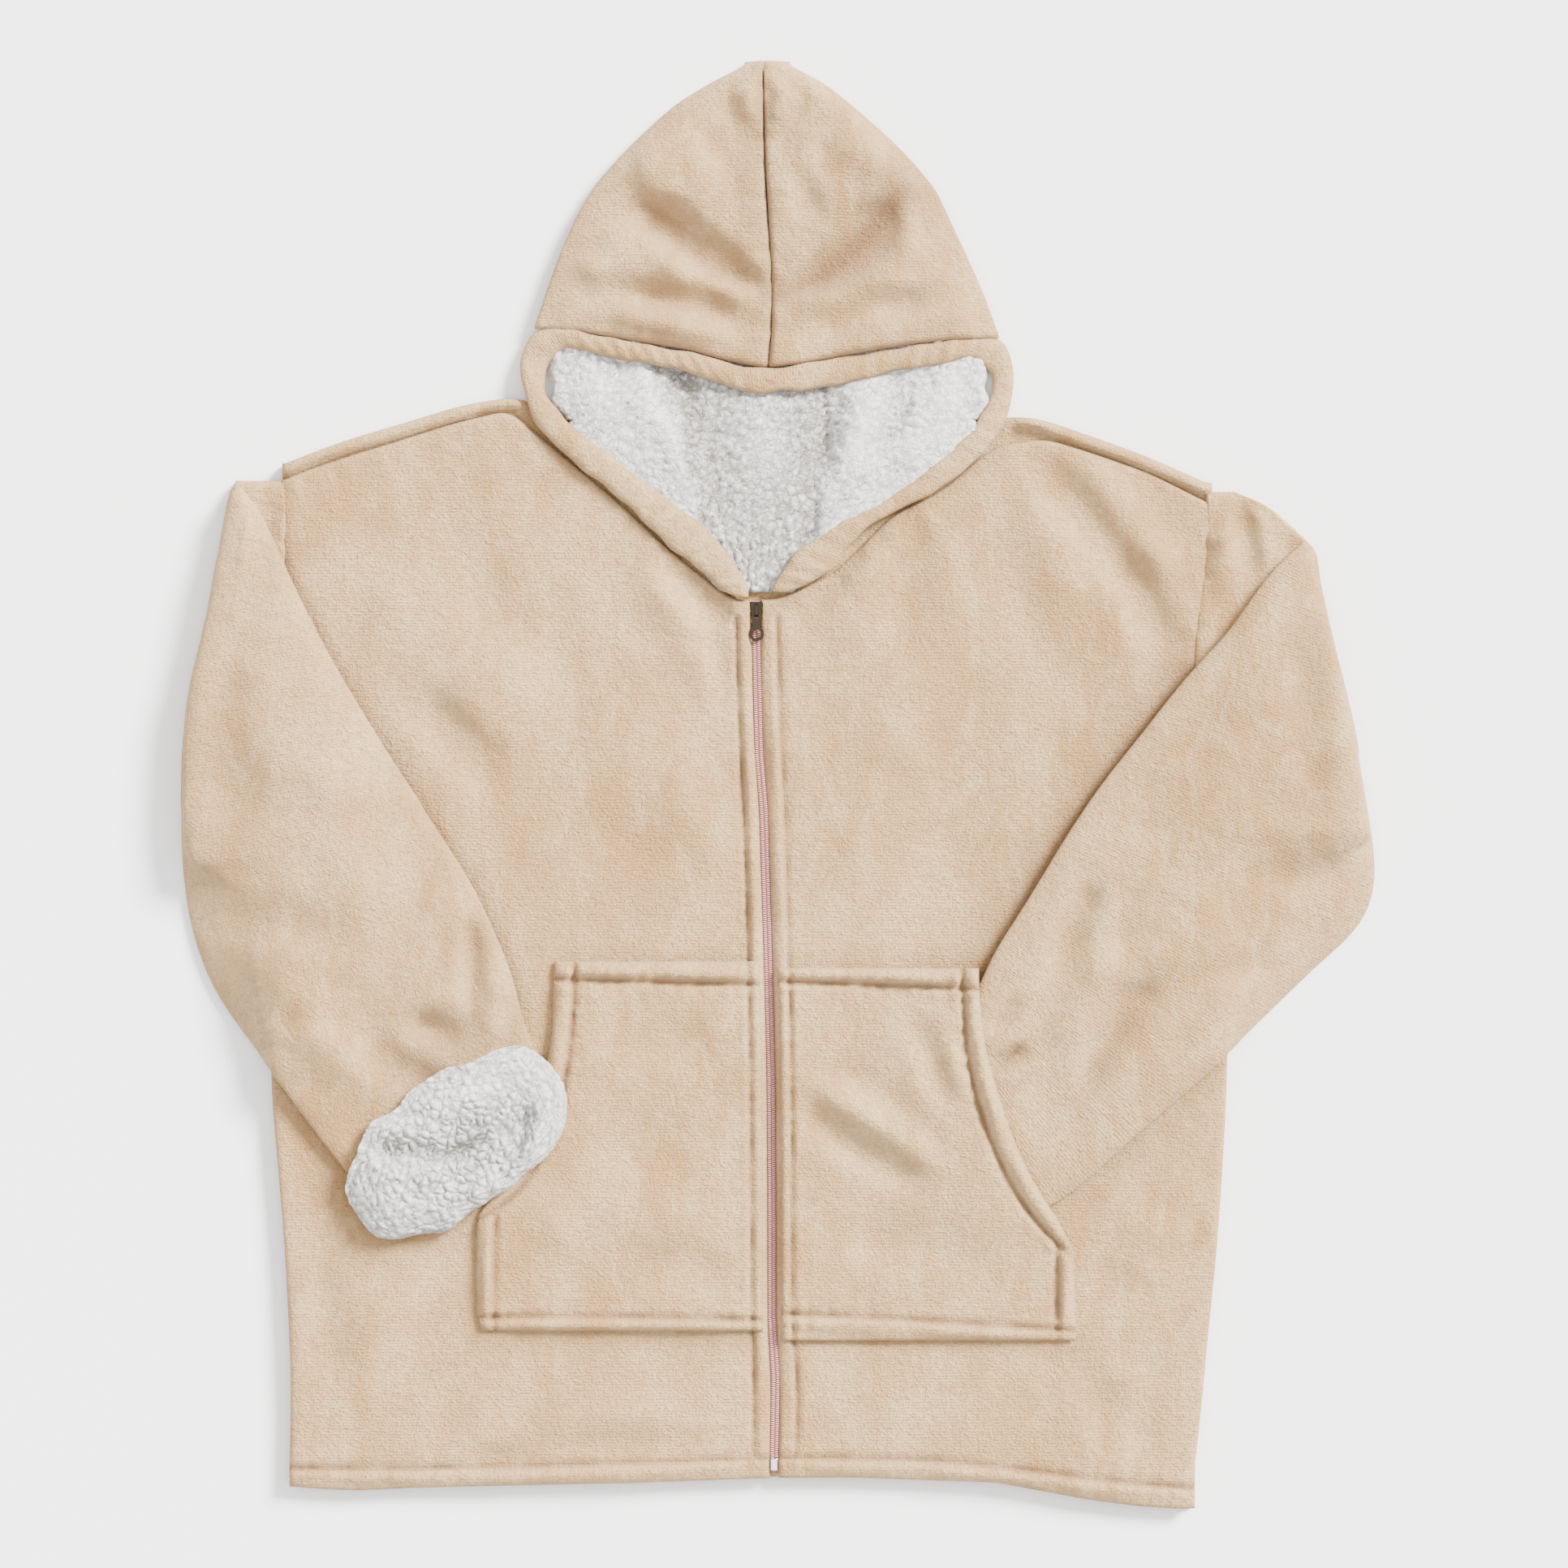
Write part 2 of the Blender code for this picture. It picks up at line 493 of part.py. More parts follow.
def edge_form(distance, edge):
    if not edge.roll:
        return 1.0, 0.0
    share = EDGE_SHARE + (1.0 - EDGE_SHARE) * sqrt(1.0 - (1.0 - clamped(distance / edge.roll)) ** 2)
    groove = 0.0
    if edge.stitch:
        groove = STITCH_DEPTH * exp(-(((distance - edge.stitch) / STITCH_WIDTH) ** 2))
    return share, groove


# A laid wall over a grid of places: place(u, v) gives x and y, lower and thick give its height and wall
def laid_wall(name, material, place, width, length, cells, edges, thick, on, folds=(), drape=PANEL_DRAPE,
              base=None):
    left, right, bottom, top = edges
    shares_v = spread(length, bottom, top, cells[1])
    columns = len(spread(100.0, left, right, cells[0]))
    bm = bmesh.new()
    column_of = bm.verts.layers.int.new("column")
    row_of = bm.verts.layers.int.new("row")
    grid = bmesh.ops.create_grid(bm, x_segments=columns - 1, y_segments=len(shares_v) - 1, size=0.5)["verts"]
    heights = {}
    for vertex in grid:
        column = round((vertex.co.x + 0.5) * (columns - 1))
        row = round((vertex.co.y + 0.5) * (len(shares_v) - 1))
        v = shares_v[row]
        wide = width(v)
        u = spread(wide, left, right, cells[0])[column]
        x, y = place(u, v)
        low = base(x, y) if base else rest_at(x, y, on, drape)
        share, groove = 1.0, 0.0
        for distance, edge in ((u * wide, left), ((1 - u) * wide, right), (v * length, bottom), ((1 - v) * length, top)):
            one, cut = edge_form(distance, edge)
            share *= one
            groove = max(groove, cut)
        wall = thick(x, y)
        middle = low + 0.5 * wall
        lift = fold_lift(x, y, folds) * share
        heights[column, row] = [x, y, middle - 0.5 * wall * share, middle + 0.5 * wall * share + lift - groove]
        vertex.co = (x * MM, y * MM, 0.0)
        vertex[column_of], vertex[row_of] = column, row
    if on and not base:
        lower = [[heights[column, row][:3] for row in range(len(shares_v))] for column in range(columns)]
        for column, lifts in enumerate(clearance(lower, on)):
            for row, lift in enumerate(lifts):
                heights[column, row][2] += lift
                heights[column, row][3] += lift
    raised = bmesh.ops.extrude_face_region(bm, geom=bm.faces[:])["geom"]
    tops = {item for item in raised if isinstance(item, bmesh.types.BMVert)}
    for vertex in bm.verts:
        low, high = heights[vertex[column_of], vertex[row_of]][2:]
        vertex.co.z = (high if vertex in tops else low) * MM
    return finish_object(name, bm, material)


def spans_place(spans):
    rows = sorted(spans)
    low, high = rows[0].y, rows[-1].y
    left = graph([(row.y, row.left) for row in rows])
    right = graph([(row.y, row.right) for row in rows])

    def place(u, v):
        y = between(low, high, v)
        return between(left(y), right(y), u), y

    def width(v):
        y = between(low, high, v)
        return right(y) - left(y)

    return place, width, high - low


def strip_place(strips):
    along = path(strips)

    def place(u, v):
        outer_x, outer_y, inner_x, inner_y = along(v)
        return between(outer_x, inner_x, u), between(outer_y, inner_y, u)

    def width(v):
        outer_x, outer_y, inner_x, inner_y = along(v)
        return hypot(outer_x - inner_x, outer_y - inner_y)

    length = sum(hypot(b[0] - a[0], b[1] - a[1]) for a, b in zip(strips, strips[1:]))
    return place, width, length


def body_place(low_x, high_x, top_rows, wrap=0.0):
    top_row = graph(top_rows)
    silhouette = graph(BACK_TOP)

    def top(x):
        return min(top_row(x), silhouette(x) - wrap)

    def place(u, v):
        y = between(HEM_Y, SHOULDER_Y, v)
        for _ in range(5):
            x = between(low_x(y), high_x(y), u)
            y = between(hem_y(x), top(x), v)
        return x, y

    def width(v):
        level = between(HEM_Y, SHOULDER_Y, v)
        return high_x(level) - low_x(level)

    return place, width, SHOULDER_Y - HEM_Y


def build_back(material):
    place, width, length = body_place(left_side, right_side, BACK_TOP)
    wrap = graph(BACK_TOP)

    # Over each shoulder the back panel comes round to the front seam
    def thick(x, y):
        shoulder = eased((-x - 175.0) / 14.0) + eased((x - 163.0) / 14.0)
        near = eased((SHOULDER_WRAP - 1.0 - (wrap(x) - y)) / 4.0)
        return LINED_WALL + (LINED_WALL + 1.0) * near * min(1.0, shoulder)

    edges = (ROLLED, ROLLED, HEMMED, Edge(0.5 * SHOULDER_WRAP, SHOULDER_WRAP - 1.0))
    return laid_wall("back", material, place, width, length, (16, 8), edges, thick, (), base=lambda x, y: 0.0)


def build_fronts(material):
    def zip_left(y):
        return zip_x(y) - ZIP_HALF_GAP

    def zip_right(y):
        return zip_x(y) + ZIP_HALF_GAP

    def thick(x, y):
        return LINED_WALL

    def base(x, y):
        return LINED_WALL + SEAM_GAP

    place, width, length = body_place(left_side, zip_left, LEFT_TOP, SHOULDER_WRAP)
    laid_wall("front_left", material, place, width, length, (8, 13), (ROLLED, PLACKET, HEMMED, SEWN), thick,
              ("back",), BODY_FOLDS, base=base)
    place, width, length = body_place(zip_right, right_side, RIGHT_TOP, SHOULDER_WRAP)
    laid_wall("front_right", material, place, width, length, (8, 13), (PLACKET, ROLLED, HEMMED, SEWN), thick,
              ("back",), BODY_FOLDS, base=base)


def build_hood(fleece, lining):
    place, width, length = spans_place(HOOD_INSIDE)

    def hood_thick(x, y):
        return FLEECE_WALL

    laid_wall("hood_back", fleece, place, width, length, (4, 5), (SEWN, SEWN, SEWN, SEWN), hood_thick, (),
              base=lambda x, y: 0.0)

    def lining_thick(x, y):
        return LINING_WALL + LINING_SWELL * eased((300.0 - y) / 40.0)

    def inset(u, v):
        return place(between(0.02, 0.98, u), between(0.0, 0.985, v))

    laid_wall("hood_lining", lining, inset, width, length, (9, 9), (SEWN, SEWN, SEWN, SEWN), lining_thick,
              ("hood_back",), LINING_FOLDS, base=lambda x, y: FLEECE_WALL + SEAM_GAP)
    place, width, length = spans_place(NECK_INSIDE)

    def neck_thick(x, y):
        return LINING_WALL

    laid_wall("neck_lining", lining, place, width, length, (6, 6), (SEWN, SEWN, SEWN, SEWN), neck_thick,
              ("back",), LINING_FOLDS, base=lambda x, y: LINED_WALL + SEAM_GAP)


def build_crown(name, material, brim, outline, side):
    seam = path(CENTRE_SEAM)
    edge = path(outline)
    low = path(brim)

    # Rows run from the brim to the tip; the lowest one follows the brim's stitched line
    def place(u, v):
        outer_x, outer_y = edge(v)
        inner_x, inner_y = seam(v)
        inner_x += side * 0.5 * SEAM_GAP
        x, y = between(outer_x, inner_x, u), between(outer_y, inner_y, u)
        low_x, low_y = low(u)
        chord_x = between(brim[0].x, brim[-1].x, u)
        chord_y = between(brim[0].y, brim[-1].y, u)
        fade = (1.0 - v) ** 2
        return x + (low_x - chord_x) * fade, y + (low_y - chord_y) * fade

    def width(v):
        outer_x, outer_y = edge(v)
        inner_x, inner_y = seam(v)
        return hypot(outer_x - inner_x, outer_y - inner_y)

    def thick(x, y):
        return CROWN_WALL

    laid_wall(name, material, place, width, CROWN_LENGTH, (6, 9), (ROLLED, SEWN, SEWN, ROLLED), thick,
              ("hood_back", "hood_lining"), HOOD_FOLDS, CROWN_DRAPE)


def build_bands(material):
    under = ("hood_back", "hood_lining", "neck_lining", "back")

    def thick(x, y):
        return BAND_HEIGHT

    for name, strips, cells in (("hood_band_brim", BRIM_BAND, 18), ("hood_band_left", LEFT_BAND, 13),
                                ("hood_band_right", RIGHT_BAND, 13)):
        place, width, length = strip_place(strips)
        laid_wall(name, material, place, width, length, (2, cells), (SEWN, SEWN, SEWN, SEWN), thick, under,
                  drape=BAND_DRAPE)


def build_heads(material):
    def thick(x, y):
        return HEAD_HEIGHT

    for name, spans in (("sleeve_head_left", LEFT_HEAD), ("sleeve_head_right", RIGHT_HEAD)):
        place, width, length = spans_place(spans)
        laid_wall(name, material, place, width, length, (2, 7), (ROLLED, ROLLED, ROLLED, ROLLED), thick, (),
                  HEAD_FOLDS, base=lambda x, y: 0.0)


# A flattened sleeve: an outer skin from the shoulder fold to the wrist, with a slit inside that is open at the wrist
def build_sleeve(name, material, rungs, under, wrist_arc):
    rows, half = SLEEVE_ROWS, SLEEVE_HALF_SIDES
    along = path(rungs)
    last = rungs[-1]
    chord = Vector((last.outer_x - last.inner_x, last.outer_y - last.inner_y)).normalized()
    back = Vector((chord.y, -chord.x))
    if back.dot(Vector((rungs[0].inner_x - last.inner_x, rungs[0].inner_y - last.inner_y))) < 0.0:
        back.negate()

    def place(u, v):
        inner_x, inner_y, outer_x, outer_y, _ = along(v)
        arc = wrist_arc * 4.0 * u * (1.0 - u) * eased((v - 0.6) / 0.4)
        return between(inner_x, outer_x, u) + back.x * arc, between(inner_y, outer_y, u) + back.y * arc

    def fullness(u):
        return max(0.0, 1.0 - abs(2.0 * u - 1.0) ** 3.2) ** 0.45

    # Height of the cloth under each lattice point, raised until the lower wall clears it everywhere
    shares = [0.5 - 0.5 * cos(pi * k / half) for k in range(half + 1)]
    rests = [[rest_at(*place(u, row / rows), under, SLEEVE_DRAPE) for u in shares] for row in range(rows + 1)]
    for _ in range(2):
        lower = []
        for row, rest in enumerate(rests):
            height = along(row / rows)[4]
            lower.append([[*place(u, row / rows), low + 0.5 * height * (1.0 - fullness(u))]
                          for u, low in zip(shares, rest)])
        for rest, lifts in zip(rests, clearance(lower, under)):
            for k, lift in enumerate(lifts):
                rest[k] += lift

    # Cloth bridges hollows: no point hangs below the middle of its neighbours
    for _ in range(BRIDGE_PASSES):
        for row in range(1, rows):
            for k in range(1, half):
                across = between(rests[row][k - 1], rests[row][k + 1],
                                 (shares[k] - shares[k - 1]) / (shares[k + 1] - shares[k - 1]))
                along_it = 0.5 * (rests[row - 1][k] + rests[row + 1][k])
                rests[row][k] = max(rests[row][k], 0.5 * (across + along_it))

    # Straight between lattice points, as the skin itself is, so that the slit stays midway in the wall
    def resting(rest, u):
        k = max(i for i in range(half) if shares[i] <= u)
        return between(rest[k], rest[k + 1], (u - shares[k]) / (shares[k + 1] - shares[k]))

    def ring_point(turn, v, inset):
        inner_x, inner_y, outer_x, outer_y, height = along(v)
        across = 0.5 - 0.5 * cos(turn)
        margin = min(0.4, inset / hypot(outer_x - inner_x, outer_y - inner_y))
        u = between(margin, 1.0 - margin, across)
        x, y = place(u, v)
        full = fullness(across)
        half_height = 0.5 * (SLEEVE_SLIT_SHARE * height if inset else height) * full
        rise = half_height if turn > pi else -half_height
        lift = fold_lift(x, y, SLEEVE_FOLDS) * full if turn > pi and not inset else 0.0
        row = min(rows - 1, int(v * rows))
        rest = between(resting(rests[row], u), resting(rests[row + 1], u), v * rows - row)
        return Vector((x * MM, y * MM, (rest + 0.5 * height + rise + lift) * MM))

    # Along the outer skin to the wrist, then back inside along the slit
    stations = [(row / rows, 0.0) for row in range(rows + 1)]
    stations += [(row / rows, SLEEVE_WALL) for row in range(rows, SLIT_START_ROW - 1, -1)]
    sides, count = 2 * half, len(stations) - 1
    bm = bmesh.new()
    grid = bmesh.ops.create_grid(bm, x_segments=sides, y_segments=count, size=0.5)["verts"]
    for vertex in grid:
        turn = 2.0 * pi * (round((vertex.co.x + 0.5) * sides) % sides) / sides
        vertex.co = ring_point(turn, *stations[round((vertex.co.y + 0.5) * count)])
    bmesh.ops.remove_doubles(bm, verts=grid, dist=0.00001)
    bmesh.ops.holes_fill(bm, edges=[edge for edge in bm.edges if edge.is_boundary], sides=0)
    bmesh.ops.triangulate(bm, faces=[face for face in bm.faces if len(face.verts) > 4])
    return finish_object(name, bm, material)


# The free wrist turned back: a plump ring of the curly lining round a closed mouth
def build_cuff(material, on):
    around, steps = CUFF_AROUND, CUFF_STEPS
    bm = bmesh.new()
    share_of = bm.verts.layers.float.new("share")
    disc = bmesh.ops.create_grid(bm, x_segments=around, y_segments=steps, size=0.5)["verts"]
    turn_cos, turn_sin = cos(radians(CUFF_TURN)), sin(radians(CUFF_TURN))
    for vertex in disc:
        angle = 2.0 * pi * (round((vertex.co.x + 0.5) * around) % around) / around
        share = (vertex.co.y + 0.5) ** 0.8
        long_part = between(CUFF_MOUTH_LONG, CUFF_LONG, share) * cos(angle)
        short_part = between(CUFF_MOUTH_SHORT, CUFF_SHORT, share) * sin(angle)
        x = CUFF_X + long_part * turn_cos - short_part * turn_sin
        y = CUFF_Y + long_part * turn_sin + short_part * turn_cos
        vertex.co = (x * MM, y * MM, 0.0)
        vertex[share_of] = share
    bmesh.ops.remove_doubles(bm, verts=disc, dist=0.00001)
    bmesh.ops.holes_fill(bm, edges=[e for e in bm.edges if e.is_boundary and e.verts[0][share_of] < 0.01], sides=0)
    raised = bmesh.ops.extrude_face_region(bm, geom=bm.faces[:])["geom"]
    tops = {item for item in raised if isinstance(item, bmesh.types.BMVert)}
    for vertex in bm.verts:
        share = vertex[share_of]
        low = rest_at(vertex.co.x / MM, vertex.co.y / MM, on, CUFF_DRAPE)
        rim = sqrt(max(0.0, 1.0 - max(0.0, (share - CUFF_ROUND_FROM) / (1.0 - CUFF_ROUND_FROM)) ** 2))
        dip = CUFF_MOUTH_DIP * (1.0 - clamped(share / CUFF_DIP_TO)) ** 1.6
        high = low + CUFF_RISE * between(CUFF_RIM_SHARE, 1.0, rim) - dip
        vertex.co.z = (high if vertex in tops else low + CUFF_RISE * CUFF_RIM_SHARE * (1.0 - rim)) * MM
    bmesh.ops.triangulate(bm, faces=[face for face in bm.faces if len(face.verts) > 4])
    return finish_object("cuff_left", bm, material)


def build_pockets(material):
    def thick(x, y):
        return POCKET_WALL

    # The side next to the zip is caught in the placket's own stitching
    place, width, length = spans_place([Span(s.y, s.left, zip_x(s.y) - ZIP_HALF_GAP - 1.2) for s in LEFT_POCKET])
    laid_wall("pocket_left", material, place, width, length, (4, 7), (BANDED, CAUGHT, BANDED, BANDED),
              thick, ("front_left",), POCKET_FOLDS, POCKET_DRAPE)
    place, width, length = spans_place([Span(s.y, zip_x(s.y) + ZIP_HALF_GAP + 1.2, s.right) for s in RIGHT_POCKET])
    laid_wall("pocket_right", material, place, width, length, (6, 10), (CAUGHT, BANDED, BANDED, BANDED),
              thick, ("front_right", "sleeve_right"), POCKET_FOLDS, FILLED_POCKET_DRAPE)


def zip_strip(name, material, half_width, top_y, low_y, low, high, rows):
    def place(u, v):
        y = between(low_y, top_y, v)
        return zip_x(y) + between(-half_width, half_width, u), y

    laid_wall(name, material, place, lambda v: 2.0 * half_width, top_y - low_y, (1, rows), (CUT, CUT, CUT, CUT),
              lambda x, y: high - low, (), base=lambda x, y: low)


def block(bm, low, high):
    cube = bmesh.ops.create_cube(bm, size=1.0)["verts"]
    for vertex in cube:
        for axis in range(3):
            vertex.co[axis] = between(low[axis], high[axis], vertex.co[axis] + 0.5) * MM
    return cube


def build_slider(material):
    centre = zip_x(PULL_Y)
    low = TAPE_HIGH + 0.3
    top = low + SLIDER_HEIGHT
    bm = bmesh.new()
    half = 0.5 * SLIDER_WIDTH
    corners = block(bm, (centre - half, SLIDER_LOW_Y, low), (centre + half, SLIDER_TOP_Y, top))
    for vertex in corners:
        if vertex.co.y < PULL_Y * MM:
            vertex.co.x = (centre + (vertex.co.x / MM - centre) * 0.8) * MM
    bmesh.ops.bevel(bm, geom=bm.edges[:], offset=0.7 * MM, segments=2, profile=0.5, affect="EDGES", material=-1)
    body = finish_object("zip_slider", bm, material)
    # Bail: a narrow arch along the slider that the pull's bar turns under
    bm = bmesh.new()
    floor = top - 0.6
    outline = (
        (PULL_Y - BAIL_BACK, floor), (PULL_Y - BAIL_BACK, top + BAIL_RISE - 0.9),
        (PULL_Y - BAIL_BACK + 0.9, top + BAIL_RISE), (PULL_Y + BAIL_FRONT - 0.9, top + BAIL_RISE),
        (PULL_Y + BAIL_FRONT, top + BAIL_RISE - 0.9), (PULL_Y + BAIL_FRONT, floor),
        (PULL_Y + BAIL_FRONT - BAIL_WIRE, floor), (PULL_Y + BAIL_FRONT - BAIL_WIRE, top + BAIL_RISE - BAIL_WIRE),
        (PULL_Y - BAIL_BACK + BAIL_WIRE, top + BAIL_RISE - BAIL_WIRE), (PULL_Y - BAIL_BACK + BAIL_WIRE, floor),
    )
    ring = [bm.verts.new(((centre - BAIL_HALF) * MM, y * MM, z * MM)) for y, z in outline]
    face = bm.faces.new(ring)
    moved = bmesh.ops.extrude_face_region(bm, geom=[face])["geom"]
    shift = Vector((2.0 * BAIL_HALF * MM, 0.0, 0.0))
    bmesh.ops.translate(bm, verts=[item for item in moved if isinstance(item, bmesh.types.BMVert)], vec=shift)
    bail = finish_object("zip_bail_shape", bm, material)
    bail.hide_render = True
    bail.display_type = "WIRE"
    union = body.modifiers.new("bail", "BOOLEAN")
    union.operation = "UNION"
    union.object = bail
    return top


def build_pull(material, slider_top):
    curve = bpy.data.curves.new("zip_pull", "CURVE")
    curve.dimensions = "2D"
    curve.fill_mode = "BOTH"
    curve.extrude = 0.5 * PULL_THICK * MM
    ring_start = 35.0
    outline = [(-PULL_BAR, 0.5 * PULL_THICK), (-PULL_BAR, -PULL_WINDOW_END), (-PULL_NECK, -PULL_WINDOW_END - 1.6)]
    for k in range(17):
        angle = radians(90.0 + ring_start + (360.0 - 2.0 * ring_start) * k / 16)
        outline.append((RING_RADIUS * cos(angle), -RING_CENTRE + RING_RADIUS * sin(angle)))
    outline += [(PULL_NECK, -PULL_WINDOW_END - 1.6), (PULL_BAR, -PULL_WINDOW_END), (PULL_BAR, 0.5 * PULL_THICK)]
    bar = 0.5 * PULL_THICK
    window = [(-PULL_WINDOW_HALF, -bar), (PULL_WINDOW_HALF, -bar), (PULL_WINDOW_HALF, -PULL_WINDOW_END),
              (-PULL_WINDOW_HALF, -PULL_WINDOW_END)]
    eye = [(RING_HOLE * cos(2 * pi * k / 16), -RING_CENTRE + RING_HOLE * sin(2 * pi * k / 16)) for k in range(16)]
    for points in (outline, window, eye):
        spline = curve.splines.new("POLY")
        spline.points.add(len(points) - 1)
        for point, (x, y) in zip(spline.points, points):
            point.co = (x * MM, y * MM, 0.0, 1.0)
        spline.use_cyclic_u = True
    curve.materials.append(material)
    pull = bpy.data.objects.new("zip_pull", curve)
    pull.location = (zip_x(PULL_Y) * MM, PULL_Y * MM, (slider_top + PULL_CLEAR) * MM)
    bpy.context.scene.collection.objects.link(pull)


def build_box(material):
    centre = zip_x(-486.0)
    bm = bmesh.new()
    low = TAPE_HIGH + 0.3
    block(bm, (centre - 0.5 * BOX_WIDTH, BOX_LOW_Y, low), (centre + 0.5 * BOX_WIDTH, BOX_TOP_Y, low + BOX_HEIGHT))
    bmesh.ops.bevel(bm, geom=bm.edges[:], offset=0.6 * MM, segments=2, profile=0.5, affect="EDGES", material=-1)
    finish_object("zip_box", bm, material)


def make_material(name, colour, roughness, metallic=0.0):
    material = bpy.data.materials.new(name)
    material.use_nodes = True
    shader = material.node_tree.nodes["Principled BSDF"]
    shader.inputs["Base Color"].default_value = (*colour, 1.0)
    shader.inputs["Roughness"].default_value = roughness
    shader.inputs["Metallic"].default_value = metallic
    return material


def main():
    for old in list(bpy.data.objects):
        bpy.data.objects.remove(old)
    fleece = make_material("pile_fleece", (0.72, 0.57, 0.42), 0.9)
    lining = make_material("curly_lining", (0.87, 0.86, 0.85), 0.95)
    tape = make_material("zip_tape", (0.78, 0.5, 0.46), 0.6)
    gunmetal = make_material("antique_nickel", (0.2, 0.18, 0.15), 0.35, 1.0)
    silver = make_material("bright_nickel", (0.75, 0.74, 0.72), 0.25, 1.0)

    build_back(fleece)
    build_fronts(fleece)
    build_heads(fleece)
    build_hood(fleece, lining)
    build_crown("hood_left", fleece, LEFT_BRIM, LEFT_HOOD_EDGE, -1.0)
    build_crown("hood_right", fleece, RIGHT_BRIM, RIGHT_HOOD_EDGE, 1.0)
    build_bands(fleece)
    build_sleeve("sleeve_left", fleece, LEFT_SLEEVE, ("back", "front_left", "sleeve_head_left"), WRIST_ARC)
    build_sleeve("sleeve_right", fleece, RIGHT_SLEEVE, ("back", "front_right", "sleeve_head_right"), 0.0)
    build_pockets(fleece)
    build_cuff(lining, ("front_left", "pocket_left"))
    zip_strip("zip_tape", tape, 0.5 * TAPE_WIDTH, 131.0, -491.4, TAPE_LOW, TAPE_HIGH, 18)
    chain_low = TAPE_HIGH + 0.3
    zip_strip("zip_chain", tape, 0.5 * CHAIN_WIDTH, SLIDER_LOW_Y - 0.4, BOX_TOP_Y + 0.4, chain_low,
              chain_low + CHAIN_HEIGHT, 18)
    slider_top = build_slider(gunmetal)
    build_pull(gunmetal, slider_top)
    build_box(silver)


main()
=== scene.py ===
# Zip-through hooded top in pile fleece with a curly lining, laid flat front up.
# Sizes beside each piece are in millimetres; meshes are in metres.
from math import cos, hypot, pi, radians, sin

import bmesh
import bpy
import numpy as np
from mathutils import Matrix, Vector, noise
from mathutils.bvhtree import BVHTree


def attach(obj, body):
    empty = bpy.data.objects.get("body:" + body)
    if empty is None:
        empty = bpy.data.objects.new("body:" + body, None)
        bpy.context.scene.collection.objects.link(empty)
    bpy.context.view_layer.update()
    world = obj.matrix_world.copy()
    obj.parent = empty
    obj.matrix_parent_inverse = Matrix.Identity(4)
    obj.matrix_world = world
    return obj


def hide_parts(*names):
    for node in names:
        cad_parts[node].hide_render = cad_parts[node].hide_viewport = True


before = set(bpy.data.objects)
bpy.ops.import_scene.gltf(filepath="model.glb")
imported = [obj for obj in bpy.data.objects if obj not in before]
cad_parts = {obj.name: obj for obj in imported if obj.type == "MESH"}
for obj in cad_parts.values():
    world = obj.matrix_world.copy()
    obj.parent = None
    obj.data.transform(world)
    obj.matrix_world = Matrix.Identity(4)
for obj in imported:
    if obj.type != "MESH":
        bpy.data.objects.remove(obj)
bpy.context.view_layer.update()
mm = 0.001
trees = {}
# noise_vector, which bends the curls, starts from the clock unless it is given a seed
noise.seed_set(7)


def between(a, b, share):
    return a + (b - a) * share


def eased(value):
    value = np.clip(value, 0.0, 1.0)
    return value * value * (3.0 - 2.0 * value)


def blurred(values, sigma, axis=0):
    if sigma < 0.3:
        return values
    reach = int(3 * sigma) + 1
    kernel = np.exp(-0.5 * (np.arange(-reach, reach + 1) / sigma) ** 2)
    kernel /= kernel.sum()
    pad = [(0, 0)] * values.ndim
    pad[axis] = (reach, reach)
    odd = {"mode": "reflect", "reflect_type": "odd"}
    wide = np.pad(values, pad, **(odd if values.shape[axis] > reach + 1 else {"mode": "edge"}))
    return np.apply_along_axis(lambda row: np.convolve(row, kernel, mode="valid"), axis, wide)


def smoothPath(points, step=2.0):
    points = np.array(points, float)
    reach = np.concatenate([[0.0], np.cumsum(np.hypot(*np.diff(points[:, :2], axis=0).T))])
    at = np.linspace(0.0, reach[-1], max(3, int(reach[-1] / step) + 1))
    out = np.stack([np.interp(at, reach, points[:, k]) for k in range(points.shape[1])], 1)
    soft = blurred(out, 4.0)
    soft[0], soft[-1] = out[0], out[-1]
    return soft


# Distance to a path, share along it, which side, and run in mm
def toPath(x, y, points):
    best = np.full(x.shape, 1e9)
    run = np.zeros(x.shape)
    side = np.ones(x.shape)
    start = 0.0
    points = np.array(points, float)
    for a, b in zip(points, points[1:]):
        d = b[:2] - a[:2]
        length = max(hypot(*d), 1e-6)
        t = np.clip(((x - a[0]) * d[0] + (y - a[1]) * d[1]) / length**2, 0.0, 1.0)
        away = np.hypot(x - a[0] - t * d[0], y - a[1] - t * d[1])
        near = away < best
        best = np.where(near, away, best)
        run = np.where(near, start + t * length, run)
        side = np.where(near, np.sign((x - a[0]) * d[1] - (y - a[1]) * d[0]), side)
        start += length
    return best, run / start, side, run


def cloud(x, y, z, scale, seed):
    shift = Vector((seed * 7.3, seed * 3.1, seed * 1.7))
    return np.array([noise.noise(Vector(p) / scale + shift) for p in zip(x, y, z)])


# Points of a sheet within a margin of a line's box
def boxed(x, y, line, margin):
    low, high = line.min(axis=0) - margin, line.max(axis=0) + margin
    return (x > low[0]) & (x < high[0]) & (y > low[1]) & (y < high[1])


